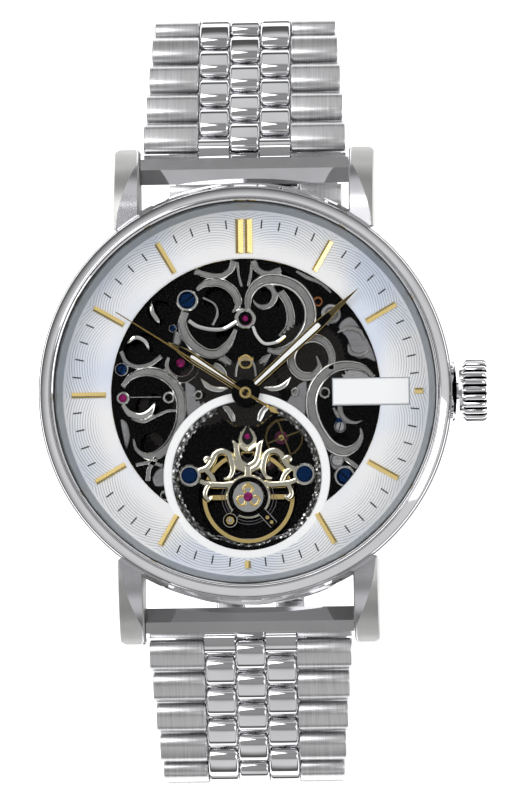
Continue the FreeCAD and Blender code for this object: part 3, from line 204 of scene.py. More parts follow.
glassMat = plain("watchGlass", (0.0, 0.0, 0.0), 0.02, 300.0, 0.01, 0.04, Alpha=0.03)
glassMat.blend_method = "BLEND"
rubber = plain("sealRubber", (0.012, 0.012, 0.012), 0.6, 2000.0, 0.45, 0.7)
enamel = plain("whiteEnamel", (0.93, 0.94, 0.95), 0.35, 1500.0, 0.3, 0.42, Coat_Weight=0.3)
ink = plain("printInk", (0.03, 0.03, 0.03), 0.5, 4000.0, 0.4, 0.6)
# grey of the rehaut ring; also the painted shadow rim round the nameplate
rehautAndShadowGrey = plain("rehautGreyPlateShadow", (0.36, 0.39, 0.42), 0.4, 1500.0, 0.3, 0.45, metallic=0.4)


def makeRuby(name, dark, light):
    material, tree, shader, place = startMaterial(name, dark, 0.0, 0.05)
    feedNode(tree, shader, {"Base Color": rampNode(tree, wearOf(tree, place, 2500.0),
                                                   [(0.3, dark), (0.7, light)])})
    return material


def makeLume():
    material, tree, shader, place = startMaterial("lumeFill", (0.93, 0.93, 0.90), 0.0, 0.55)
    grain = wearOf(tree, place, 5000.0)
    tone = rampNode(tree, grain, [(0.2, (0.86, 0.86, 0.83)), (0.8, (0.95, 0.95, 0.93))])
    feedNode(tree, shader, {"Base Color": tone})
    addBump(tree, shader, grain, 0.2, 0.00001)
    return material


guillocheSet = {"sector": math.radians(30), "ringCentre": 11.6 * mm, "lineStep": 0.27 * mm,
                "fadeStart": 14.6 * mm, "fadeEnd": 16.6 * mm, "rimStart": 18.75 * mm,
                "rimEnd": 18.95 * mm}


def lengthOf(tree, u, v):
    return mathNode(tree, "SQRT", mathNode(tree, "ADD", mathNode(tree, "MULTIPLY", u, u),
                                           mathNode(tree, "MULTIPLY", v, v)))


def makeGuilloche():
    sizes = guillocheSet
    material, tree, shader, place = startMaterial("engineTurned", (0.86, 0.87, 0.89), 0.0, 0.32,
                                                  Coat_Weight=0.4,
                                                  Coat_Roughness=0.12)
    x, y = addNode(tree, "ShaderNodeSeparateXYZ", {0: place}).outputs[:2]
    turn = mathNode(tree, "ARCTAN2", y, x)
    radius = lengthOf(tree, x, y)
    inSector = mathNode(tree, "SUBTRACT", mathNode(tree, "FLOORED_MODULO", turn, sizes["sector"]),
                        sizes["sector"] / 2)
    alongX = mathNode(tree, "SUBTRACT", mathNode(tree, "MULTIPLY", radius,
                                                 mathNode(tree, "COSINE", inSector)),
                      sizes["ringCentre"])
    alongY = mathNode(tree, "MULTIPLY", radius, mathNode(tree, "SINE", inSector))
    reach = lengthOf(tree, alongX, alongY)
    wave = mathNode(tree, "SINE", mathNode(tree, "MULTIPLY", reach, 2 * math.pi / sizes["lineStep"]))
    fade = mapNode(tree, radius, From_Min=sizes["fadeStart"], From_Max=sizes["fadeEnd"])
    rim = mapNode(tree, radius, From_Min=sizes["rimStart"], From_Max=sizes["rimEnd"], To_Min=1.0,
                  To_Max=0.0)
    lines = mathNode(tree, "MULTIPLY", wave, mathNode(tree, "MULTIPLY", fade, rim))
    # large soft patches of blue-grey over the white dial colour
    blueGreyPatches = addNode(tree, "ShaderNodeTexNoise", {"Scale": 110.0, "Detail": 1.0, "Vector": place})
    base = rampNode(tree, blueGreyPatches.outputs[0], [(0.35, (0.68, 0.74, 0.86)), (0.6, (0.86, 0.86, 0.87))])
    # colour darkened in the troughs of the turned lines, where the bump sinks: painted shade in the
    # grooves, on top of the bump
    turnedLineShade = rampNode(tree, mapNode(tree, lines, From_Min=-1.0),
                        [(0.0, (0.50, 0.52, 0.55)), (0.4, (1, 1, 1))])
    mix = addNode(tree, "ShaderNodeMix", data_type="RGBA", blend_type="MULTIPLY")
    feedNode(tree, mix, {0: 1.0, 6: base, 7: turnedLineShade})
    feedNode(tree, shader, {"Base Color": mix.outputs[2]})
    addBump(tree, shader, lines, 0.5, 0.00003)
    return material


def makePaintedGlintSteel():
    material, tree, shader, place = startMaterial("paintedGlintSteel", (0.5, 0.5, 0.5), 1.0, 0.2)
    # bright dots at the cell centres on dark grey: painted glints, over a real faceted bump
    cells = addNode(tree, "ShaderNodeTexVoronoi", {"Scale": 1900.0, "Vector": place}).outputs[0]
    feedNode(tree, shader, {"Base Color": rampNode(tree, cells,
                                                   [(0.05, (0.8, 0.8, 0.8)), (0.5, (0.12, 0.12, 0.12))])})
    addBump(tree, shader, cells, 1.0, 0.00012)
    return material


ruby = makeRuby("rubyStone", (0.07, 0.0, 0.03), (0.30, 0.005, 0.13))
# a much darker copy of the ruby for the jewels deep in the movement: painted shade
shadedRuby = makeRuby("shadedRuby", (0.02, 0.0, 0.008), (0.07, 0.002, 0.03))
lume, guilloche, glintSteel = makeLume(), makeGuilloche(), makePaintedGlintSteel()
print("materials made")


# ---- mesh tools ----

def finishPiece(name, source, material, body, replaced=(), smooth=True, angle=30):
    mesh = bmeshDone(source) if isinstance(source, bmesh.types.BMesh) else source
    mesh.name = name
    piece = bpy.data.objects.new(name, mesh)
    bpy.context.scene.collection.objects.link(piece)
    for item in material if isinstance(material, (list, tuple)) else [material]:
        mesh.materials.append(item)
    if smooth:
        mesh.shade_smooth()
        mesh.set_sharp_from_angle(angle=math.radians(angle))
    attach(piece, body)
    if replaced:
        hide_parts(*replaced)
    return piece


def bmeshDone(bm, turnOut=True):
    bmesh.ops.remove_doubles(bm, verts=bm.verts, dist=1e-7)
    if turnOut:
        bmesh.ops.recalc_face_normals(bm, faces=bm.faces)
    mesh = bpy.data.meshes.new("shape")
    bm.to_mesh(mesh)
    bm.free()
    return mesh


def skin(bm, rows, loop=False, caps=True, paint=None):
    count = len(rows[0])
    for here, there in zip(rows, rows[1:] + rows[:1] if loop else rows[1:]):
        for k in range(count):
            n = (k + 1) % count
            face = bm.faces.new([here[k], here[n], there[n], there[k]])
            face.material_index = paint(k, here) if paint else 0
    if caps and not loop:
        for row in (rows[0], rows[-1]):
            bm.faces.new(row)


def addLathe(bm, profile, steps=192, centre=(0, 0), closed=True, matIndex=0):
    rings = []
    for index in range(steps):
        turn = 2 * math.pi * index / steps
        ring = [bm.verts.new(((centre[0] + r * math.cos(turn)) * mm,
                              (centre[1] + r * math.sin(turn)) * mm,
                              z * mm)) for r, z in profile]
        rings.append(ring)
    count = len(profile)
    for index in range(steps):
        here, there = rings[index], rings[(index + 1) % steps]
        for k in range(count if closed else count - 1):
            n = (k + 1) % count
            if profile[k][0] < 1e-9 and profile[n][0] < 1e-9:
                continue
            corners = [here[k], there[k], there[n], here[n]]
            if profile[k][0] < 1e-9:
                corners = [here[k], there[n], here[n]]
            elif profile[n][0] < 1e-9:
                corners = [here[k], there[k], here[n]]
            face = bm.faces.new(corners)
            face.material_index = matIndex


def arcPoints(centre, radius, start, end, count):
    return [(centre[0] + radius * math.cos(math.radians(start + (end - start) * k / (count - 1))),
             centre[1] + radius * math.sin(math.radians(start + (end - start) * k / (count - 1))))
            for k in range(count)]


def smoothPath(points, closed=False, perSpan=8):
    count = len(points)
    result = []
    spans = count if closed else count - 1
    for k in range(spans):
        if closed:
            p0, p1, p2, p3 = (points[(k + d) % count] for d in (-1, 0, 1, 2))
        else:
            p1, p2 = points[k], points[k + 1]
            p0 = points[k - 1] if k else (2 * p1[0] - p2[0], 2 * p1[1] - p2[1])
            p3 = points[k + 2] if k + 2 < count else (2 * p2[0] - p1[0], 2 * p2[1] - p1[1])
        for step in range(perSpan):
            t = step / perSpan
            result.append(tuple(0.5 * (2 * p1[i] + (p2[i] - p0[i]) * t
                                       + (2 * p0[i] - 5 * p1[i] + 4 * p2[i] - p3[i]) * t * t
                                       + (3 * p1[i] - p0[i] - 3 * p2[i] + p3[i]) * t ** 3) for i in (0,
                                                                                                     1)))
    if not closed:
        result.append(points[-1])
    return result


bandProfile = [(-1.0, 0.0), (-1.0, 0.55), (-0.9, 0.85), (-0.72, 1.0), (-0.52, 0.62), (0.52, 0.62),
               (0.72, 1.0), (0.9, 0.85), (1.0, 0.55), (1.0, 0.0)]
bandHighlightSides = (1, 2, 6, 7)  # which profile sides get the bright steel: the rims, painted lighter than the grey ribbon body as a painted highlight on the polished bevels
roundProfile = [(-1.0, 0.0), (-0.9, 0.5), (-0.6, 0.88), (0.0, 1.0), (0.6, 0.88), (0.9, 0.5), (1.0, 0.0)]


def addBand(bm, points, width, low, height, closed=False, profile=bandProfile, bright=bandHighlightSides,
            taper=(1.0, 1.0), perSpan=8, matBase=0):
    path = smoothPath(points, closed, perSpan)
    count = len(path)
    rows = []
    for k, (x, y) in enumerate(path):
        before = path[k - 1] if k or closed else path[k]
        after = path[(k + 1) % count] if k + 1 < count or closed else path[k]
        dx, dy = after[0] - before[0], after[1] - before[1]
        size = math.hypot(dx, dy) or 1.0
        nx, ny = -dy / size, dx / size
        share = k / max(count - 1, 1)
        widthHere = width / 2 * (1.0 if closed else
                                 min(1.0, taper[0] + (1 - taper[0]) * share * 4,
                                     taper[1] + (1 - taper[1]) * (1 - share) * 4))
        rows.append([bm.verts.new(((x + nx * u * widthHere) * mm, (y + ny * u * widthHere) * mm,
                                   (low + height * v) * mm)) for u, v in profile])
    skin(bm, rows, closed, paint=lambda side, row: matBase + (side in bright))


def addPrism(bm, outline, low, high, bevel=0.0, matIndex=0, topMat=None):
    area = sum(a[0] * b[1] - b[0] * a[1] for a, b in zip(outline, outline[1:] + outline[:1]))
    if area < 0:
        outline = outline[::-1]
    count = len(outline)
    levels = [(low, 0.0), (high - bevel, 0.0), (high, bevel)] if bevel else [(low, 0.0), (high, 0.0)]
    rings = []
    for z, inset in levels:
        ring = []
        for k, (x, y) in enumerate(outline):
            (px, py), (qx, qy) = outline[k - 1], outline[(k + 1) % count]
            tx, ty = qx - px, qy - py
            size = math.hypot(tx, ty) or 1.0
            ring.append(bm.verts.new(((x - ty / size * inset) * mm, (y + tx / size * inset) * mm,
                                      z * mm)))
        rings.append(ring)
    for lower, upper in zip(rings, rings[1:]):
        for k in range(count):
            n = (k + 1) % count
            face = bm.faces.new([lower[k], lower[n], upper[n], upper[k]])
            face.material_index = matIndex
    face = bm.faces.new(rings[-1])
    face.material_index = matIndex if topMat is None else topMat
    face = bm.faces.new(rings[0][::-1])
    face.material_index = matIndex


def addDisc(bm, x, y, radius, low, high, steps=40, chamfer=0.08, matIndex=0):
    chamfer = min(chamfer, (high - low) * 0.8, radius * 0.4)
    addLathe(bm, [(0, low), (radius, low), (radius, high - chamfer), (radius - chamfer, high), (0, high)],
             steps, (x, y), False, matIndex)


def addRing(bm, x, y, inner, outer, low, high, steps=48, matIndex=0):
    edge = min(0.1, (outer - inner) / 3)
    addLathe(bm, [(inner, low), (outer, low), (outer, high - edge), (outer - edge, high),
                  (inner + edge, high),
                  (inner, high - edge)], steps, (x, y), True, matIndex)


def turned(points, degrees, centre=(0, 0)):
    c, s = math.cos(math.radians(degrees)), math.sin(math.radians(degrees))
    return [(centre[0] + x * c - y * s, centre[1] + x * s + y * c) for x, y in points]


def ringTree():
    tree = bpy.data.node_groups.new("ringOfItems", "GeometryNodeTree")
    socket = {}
    for name, kind in (("Item", "Object"), ("Count", "Int"), ("Radius", "Float"), ("Skip", "Int"),
                       ("Material", "Material")):
        socket[name] = tree.interface.new_socket(name=name, in_out="INPUT",
                                                 socket_type="NodeSocket" + kind).identifier
    tree.interface.new_socket(name="Geometry", in_out="OUTPUT", socket_type="NodeSocketGeometry")
    given, result = addNode(tree, "NodeGroupInput").outputs, addNode(tree, "NodeGroupOutput")
    circle = addNode(tree, "GeometryNodeMeshCircle", {"Vertices": given["Count"],
                                                      "Radius": given["Radius"]})
    item = addNode(tree, "GeometryNodeObjectInfo", {"Object": given["Item"]})
    place = addNode(tree, "GeometryNodeInputPosition").outputs[0]
    turn = addNode(tree, "FunctionNodeAlignRotationToVector", {"Vector": place}, axis="X", pivot_axis="Z")
    index = addNode(tree, "GeometryNodeInputIndex").outputs[0]
    keep = mathNode(tree, "GREATER_THAN", mathNode(tree, "MODULO", index, given["Skip"]), 0.5)
    spread = addNode(tree, "GeometryNodeInstanceOnPoints", {
        "Points": circle.outputs[0], "Selection": keep, "Instance": item.outputs["Geometry"],
        "Rotation": turn.outputs[0]})
    real = addNode(tree, "GeometryNodeRealizeInstances", {0: spread.outputs[0]})
    paint = addNode(tree, "GeometryNodeSetMaterial", {"Geometry": real.outputs[0],
                                                      "Material": given["Material"]})
    feedNode(tree, result, {0: paint.outputs[0]})
    return tree, socket


ringNodes, ringSocket = ringTree()


def ringOf(bm, count, radius, skip, material):
    item = bpy.data.objects.new("ringItem", bmeshDone(bm))
    carrier = bpy.data.objects.new("ringCarrier", bpy.data.meshes.new("ringCarrier"))
    for thing in (item, carrier):
        bpy.context.scene.collection.objects.link(thing)
    modifier = carrier.modifiers.new("ring", "NODES")
    modifier.node_group = ringNodes
    for name, value in (("Item", item), ("Count", count), ("Radius", radius * mm), ("Skip", skip),
                        ("Material", material)):
        modifier[ringSocket[name]] = value
    graph = bpy.context.evaluated_depsgraph_get()
    mesh = bpy.data.meshes.new_from_object(carrier.evaluated_get(graph))
    carrier.modifiers.clear()
    for thing in (item, carrier):
        bpy.data.objects.remove(thing)
    mesh.materials.clear()  # finishPiece adds it again
    return mesh


# ---- camera, light, floor ----
viewSet = {"elevation": 87.0, "side": 2.2, "distance": 1.0, "across": 0.0532,
           "aim": (0.00105, -0.0008, 0.009),
           "roll": 0.7}


def makeCamera():
    tilt = math.radians(viewSet["elevation"])
    aim = Vector(viewSet["aim"])
    away = Vector((math.sin(math.radians(viewSet["side"])), -math.cos(tilt), math.sin(tilt))).normalized()
    camera = bpy.data.objects.new("mainCamera", bpy.data.cameras.new("mainCamera"))
    camera.data.sensor_fit = "HORIZONTAL"
    camera.data.lens = camera.data.sensor_width * viewSet["distance"] / viewSet["across"]
    camera.data.clip_end = 20
    camera.location = aim + away * viewSet["distance"]
    right = Vector((0, 1, 0)).cross(away).normalized()
    turn = Matrix((right, away.cross(right), away)).transposed()
    camera.rotation_euler = (turn @ Matrix.Rotation(math.radians(-viewSet["roll"]), 3, "Z")).to_euler()
    bpy.context.scene.collection.objects.link(camera)
    bpy.context.scene.camera = camera


def makeLight(name, where, size, power):
    lamp = bpy.data.lights.new(name, "AREA")
    lamp.shape = "RECTANGLE"
    lamp.size, lamp.size_y = size
    lamp.energy = power
    item = bpy.data.objects.new(name, lamp)
    item.location = where
    item.rotation_euler = (-Vector(where)).to_track_quat("-Z", "Y").to_euler()
    bpy.context.scene.collection.objects.link(item)


def makeWorld():
    world = bpy.data.worlds.new("studio")
    bpy.context.scene.world = world
    world.use_nodes = True
    tree = world.node_tree
    place = addNode(tree, "ShaderNodeTexCoord").outputs["Generated"]
    height = addNode(tree, "ShaderNodeSeparateXYZ", {0: place}).outputs[2]
    stops = [(0.0, (0.5,) * 3), (0.5, (0.4,) * 3), (0.56, (0.10,) * 3), (0.66, (0.16,) * 3),
             (0.72, (0.95,) * 3),
             (0.86, (0.9,) * 3), (0.93, (0.36,) * 3), (1.0, (0.42,) * 3)]
    color = rampNode(tree, mapNode(tree, height, From_Min=-1.0), stops)
    feedNode(tree, tree.nodes["Background"], {0: color, 1: 0.88})


def makeFloor():
    bm = bmesh.new()
    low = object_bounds()[0][2] - 0.0002
    for corner in ((-2, -2), (2, -2), (2, 2), (-2, 2)):
        bm.verts.new((*corner, low))
    bm.faces.new(bm.verts)
    mesh = bmeshDone(bm, False)
    floor = bpy.data.objects.new("floor", mesh)
    material, tree, shader, place = startMaterial("paleFloor", (0.97, 0.97, 0.97), 0.0, 0.9)
    feedNode(tree, shader, {"Roughness": wearOf(tree, place, 40.0, 0.85, 0.95),
                            "Emission Color": (1, 1, 1, 1),
                            "Emission Strength": 1.1})
    mesh.materials.append(material)
    bpy.context.scene.collection.objects.link(floor)


makeCamera()
makeWorld()
makeFloor()
makeLight("keyLight", (-0.25, 0.25, 0.55), (0.4, 0.4), 2.0)
makeLight("fillLight", (0.35, -0.1, 0.45), (0.3, 0.5), 1.0)
bpy.context.scene.view_settings.view_transform = "Standard"
print("stage set")


# ---- case, bezel, lugs, rehaut ticks ----
ringSteps = 256
bezelSet = {"profile": [(19.95, 9.0), (21.4, 9.0), (21.4, 9.75), (21.33, 9.95), (21.2, 10.05),
                        (20.48, 10.45),
                        (20.4, 10.36), (20.34, 10.36), (20.28, 10.52), (20.18, 10.72), (20.1, 10.78),
                        (20.02, 10.74), (19.95, 10.6)]}


def makeBezel():
    bm = bmesh.new()
    addLathe(bm, bezelSet["profile"], ringSteps)
    finishPiece("bezelRing", bm, polished, "case", ["bezel"], angle=25)


lugSet = {"inner": 10.97, "outer": 13.58, "root": 17.3, "tip": 25.93, "corner": 0.45, "top": 8.75,
          "steps": 36}


def lugTop(y):
    share = min(max((abs(y) - 14.0) / (25.75 - 14.0), 0.0), 1.0)
    return lugSet["top"] - 0.8 * share ** 1.5 - 3.6 * max(share - 0.45, 0) ** 2 / 0.3


def makeLugs():
    bm = bmesh.new()
    for sx in (1, -1):
        for sy in (1, -1):
            rows = []
            for step in range(lugSet["steps"] + 1):
                share = step / lugSet["steps"]
                y = lugSet["root"] + (lugSet["tip"] - lugSet["root"]) * share
                ends = max(0.0, y - (lugSet["tip"] - lugSet["corner"])) / lugSet["corner"]
                pull = lugSet["corner"] * (1 - math.sqrt(max(0.0, 1 - ends * ends)))
                high, low = lugTop(y) - pull * 0.8, 0.4 + 0.3 * share
                left, right = lugSet["inner"] + pull * 0.4, lugSet["outer"] - pull
                # the satin facet grows from the outer edge at the case to the inner edge near the tip
                edge = right - 0.25 - (right - left - 0.5) * min(1.0, share / 0.8) ** 1.7
                profile = [(left, low), (right, low), (right, high - 0.5),
                           (right - 0.1, high - (right - edge) * 0.16),
                           (edge, high), (left + 0.14, high - (edge - left) * 0.05), (left, high - 0.25)]
                rows.append([bm.verts.new((sx * px * mm, sy * y * mm, pz * mm)) for px, pz in profile])
            skin(bm, rows, paint=lambda side, row: int(side == 4))
    finishPiece("lugHorns", bm, [lugSatin, lugPolish], "case", (), angle=8)


tickSet = {"radius": 19.4, "half": 0.3, "slope": 1.85 / 0.8, "height": 8.474, "minute": 17.7,
           "length": 0.9}


def makeRehautTicks():
    bm = bmesh.new()
    rise = tickSet["half"] * tickSet["slope"]
    corners = [(-tickSet["half"], -0.065, -rise), (-tickSet["half"], 0.065, -rise),
               (tickSet["half"], 0.065, rise),
               (tickSet["half"], -0.065, rise)]
    lower = [bm.verts.new((x * mm, y * mm, (tickSet["height"] + z - 0.02) * mm)) for x, y, z in corners]
    upper = [bm.verts.new((x * mm, y * mm, (tickSet["height"] + z + 0.03) * mm)) for x, y, z in corners]
    bm.faces.new(upper)
    bm.faces.new(lower[::-1])
    for k in range(4):
        n = (k + 1) % 4
        bm.faces.new([lower[k], lower[n], upper[n], upper[k]])
    finishPiece("rehautTicks", ringOf(bm, 60, tickSet["radius"], 61, ink), ink, "case", (),
                smooth=False)


makeBezel()
makeLugs()
makeRehautTicks()
print("case made")


# ---- dial ----
dialSet = {"opening": 14.0, "radius": 19.6, "low": 7.35, "high": 7.75, "ringY": -8.6, "ringInner": 7.8,
           "ringOuter": 8.69, "steps": 720}


def openingAt(turn):
    along = dialSet["ringY"] * math.sin(turn)
    inside = dialSet["ringInner"] ** 2 - dialSet["ringY"] ** 2 + along ** 2
    far = along + math.sqrt(inside) if inside > 0 else 0.0
    return max(dialSet["opening"], far)


def makeDial():
    bm = bmesh.new()
    rows = []
    for index in range(dialSet["steps"]):
        turn = 2 * math.pi * index / dialSet["steps"]
        start = openingAt(turn)
        profile = [(start, dialSet["low"]), (dialSet["radius"], dialSet["low"]),
                   (dialSet["radius"], dialSet["high"]), (start + 0.22, dialSet["high"]),
                   (start + 0.07, dialSet["high"] - 0.1), (start, dialSet["high"] - 0.2)]
        rows.append([bm.verts.new((r * math.cos(turn) * mm, r * math.sin(turn) * mm, z * mm))
                     for r, z in profile])
    # the lower bevel and the inner wall of the opening get the dark gold: painted shade inside the
    # opening
    skin(bm, rows, True, paint=lambda side, row: int(side > 3))
    finishPiece("dialPlate", bm, [guilloche, goldPaintedShade], "case", ["dial"], angle=20)
    bm = bmesh.new()
    inner, outer = dialSet["ringInner"], dialSet["ringOuter"]
    addLathe(bm, [(inner, 7.36), (outer, 7.36), (outer, 7.72), (outer - 0.1, 7.79), (inner + 0.1, 7.79),
                  (inner, 7.7)], 200, (0, dialSet["ringY"]))
    addPrism(bm, [(9.1, -1.35), (17.0, -1.35), (17.0, 1.35), (9.1, 1.35)], 7.36, 7.92, 0.1)
    finishPiece("subRing", bm, enamel, "case", (), angle=25)
    bm = bmesh.new()
    # a grey rim just around the white nameplate: painted shadow at its edges
    addPrism(bm, [(9.0, -1.45), (17.1, -1.45), (17.1, 1.45), (9.0, 1.45)], 7.36, 7.8, 0.03)
    finishPiece("plateBorder", bm, rehautAndShadowGrey, "case", (), angle=25)


def makeTicks():
    bm = bmesh.new()
    half = tickSet["length"] / 2
    addPrism(bm, [(-half, -0.075), (half, -0.075), (half, 0.075), (-half, 0.075)], 7.74, 7.762)
    finishPiece("minuteTicks", ringOf(bm, 60, tickSet["minute"], 5, ink), ink, "case", (),
                smooth=False)


def addRoofBar(bm, start, end, width, offset, degrees, low=7.74, high=8.06):
    half, ridge, lean = width / 2, 0.12, width * 0.14
    base = turned([(start, offset - half), (end, offset - half), (end, offset + half),
                   (start, offset + half)],
                  degrees)
    crest = turned([(start + ridge, offset + lean), (end - ridge, offset + lean)], degrees)
    foot0 = [bm.verts.new((x * mm, y * mm, low * mm)) for x, y in base]
    foot1 = [bm.verts.new((x * mm, y * mm, (low + 0.12) * mm)) for x, y in base]
    tops = [bm.verts.new((x * mm, y * mm, high * mm)) for x, y in crest]
    for k in range(4):
        n = (k + 1) % 4
        bm.faces.new([foot0[k], foot0[n], foot1[n], foot1[k]])
    bm.faces.new([foot1[0], foot1[1], tops[1], tops[0]])
    bm.faces.new([foot1[2], foot1[3], tops[0], tops[1]])
    bm.faces.new([foot1[1], foot1[2], tops[1]])
    bm.faces.new([foot1[3], foot1[0], tops[0]])
    bm.faces.new(foot0[::-1])


def makeHourBars():
    bm = bmesh.new()
    for hour in (1, 2, 4, 5, 7, 8, 9, 10, 11):
        addRoofBar(bm, 14.6, 18.2, 0.58, 0, 90 - 30 * hour)
    for offset in (-0.475, 0.475):
        addRoofBar(bm, 14.6, 18.2, 0.8, offset, 90)
    addRoofBar(bm, 17.6, 18.5, 0.58, 0, 0)
    addRoofBar(bm, 17.5, 18.3, 0.58, 0, -90)
    finishPiece("hourBars", bm, goldPolish, "case", ["hour_markers"], smooth=False)


makeDial()
makeTicks()
makeHourBars()
print("dial made")


# ---- hands ----
handSet = {"seconds": 302.6, "minute": 47.9, "hour": 304.0}


def alongHand(points, clock):
    turn = math.radians(clock)
    return [(s * math.sin(turn) + w * math.cos(turn), s * math.cos(turn) - w * math.sin(turn)) for s,
            w in points]


def mirrored(points):
    return points + [(s, -w) for s, w in reversed(points) if w > 0]


def makeBaton(name, clock, low, length, lumeEnd, body, node, hub):
    bm = bmesh.new()
    edge = [(0.9, 0.36), (lumeEnd - 0.4, 0.5), (lumeEnd + 0.25, 0.48), (lumeEnd + 1.2, 0.4)]
    addPrism(bm, alongHand(mirrored(edge + [(length, 0.02)]), clock), low, low + 0.1, 0.03, 0)
    # the black strip inside the gold outline is the hand's polished bevel painted near-black: a painted
    # dark reflection
    shadedBevelEdge = [(0.9, 0.29), (lumeEnd - 0.4, 0.43), (lumeEnd + 0.2, 0.42), (lumeEnd + 1.2, 0.35)]
    addPrism(bm, alongHand(mirrored(shadedBevelEdge + [(lumeEnd + 2.2, 0.25)]), clock), low + 0.08, low + 0.16,
             0.05, 1)
    # the tip in dark gold: painted shade on the tip facet
    addPrism(bm, alongHand(mirrored([(lumeEnd + 1.5, 0.31), (length - 0.3, 0.03)]), clock), low + 0.08,
             low + 0.19,
             0.012, 3)
    addPrism(bm, alongHand(mirrored([(1.35, 0.14), (lumeEnd - 0.3, 0.27), (lumeEnd, 0.2)]), clock),
             low + 0.1,
             low + 0.2, 0.03, 2)
    addRing(bm, 0, 0, 0.5, hub, low, low + 0.2, 72, 1)
    finishPiece(name, bm, [goldPolish, blackPolishAndShade, lume, goldPaintedShade], body, [node], angle=20)


def makeSecondsHand():
    bm = bmesh.new()
    low, clock = 8.9, handSet["seconds"]
    # a black middle strip between two gold side strips: the dark middle is painted shade between the two
    # lit bevels of the thin gold hand
    addPrism(bm, alongHand([(-3.0, -0.1), (15.9, -0.04), (15.9, 0.04), (-3.0, 0.1)], clock), low,
             low + 0.08, 0, 1)
    for side in (-1, 1):
        addPrism(bm, alongHand([(-3.0, side * 0.05), (15.9, side * 0.015), (15.9, side * 0.05),
                                (-3.0, side * 0.13)], clock), low, low + 0.16, 0.02, 0)
    addPrism(bm, alongHand([(-2.6, 0), (-3.3, 0.34), (-4.2, 0), (-3.3, -0.34)], clock), low, low + 0.18,
             0.06, 0)
    addRing(bm, 0, 0, 0.28, 0.62, low, low + 0.2, 48, 0)
    addDisc(bm, 0, 0, 0.3, low - 0.1, low + 0.16, 32, 0.08, 1)
    finishPiece("secondsPointer", bm, [goldPolish, blackPolishAndShade], "seconds", ["seconds_hand"],
                angle=20)


makeBaton("hourPointer", handSet["hour"], 8.0, 9.7, 6.9, "hours", "hour_hand", 1.3)
makeBaton("minutePointer", handSet["minute"], 8.45, 16.0, 10.5, "minutes", "minute_hand", 1.46)
makeSecondsHand()
print("hands made")


# ---- open-worked movement, seen through the dial ----
ribbonSet = {"low": 6.68, "height": 0.5}
# ribbons drawn all in the bright steel: a painted highlight over the whole rounded ribbon
roundHighlighted = {"profile": roundProfile, "bright": (0, 1, 2, 3, 4, 5)}


def ribbon(bm, points, width, low=None, height=None, closed=False, taper=(1.0, 1.0), profile=bandProfile,
           bright=bandHighlightSides):
    addBand(bm, points, width, ribbonSet["low"] if low is None else low,
            ribbonSet["height"] if height is None else height, closed, profile, bright, taper)


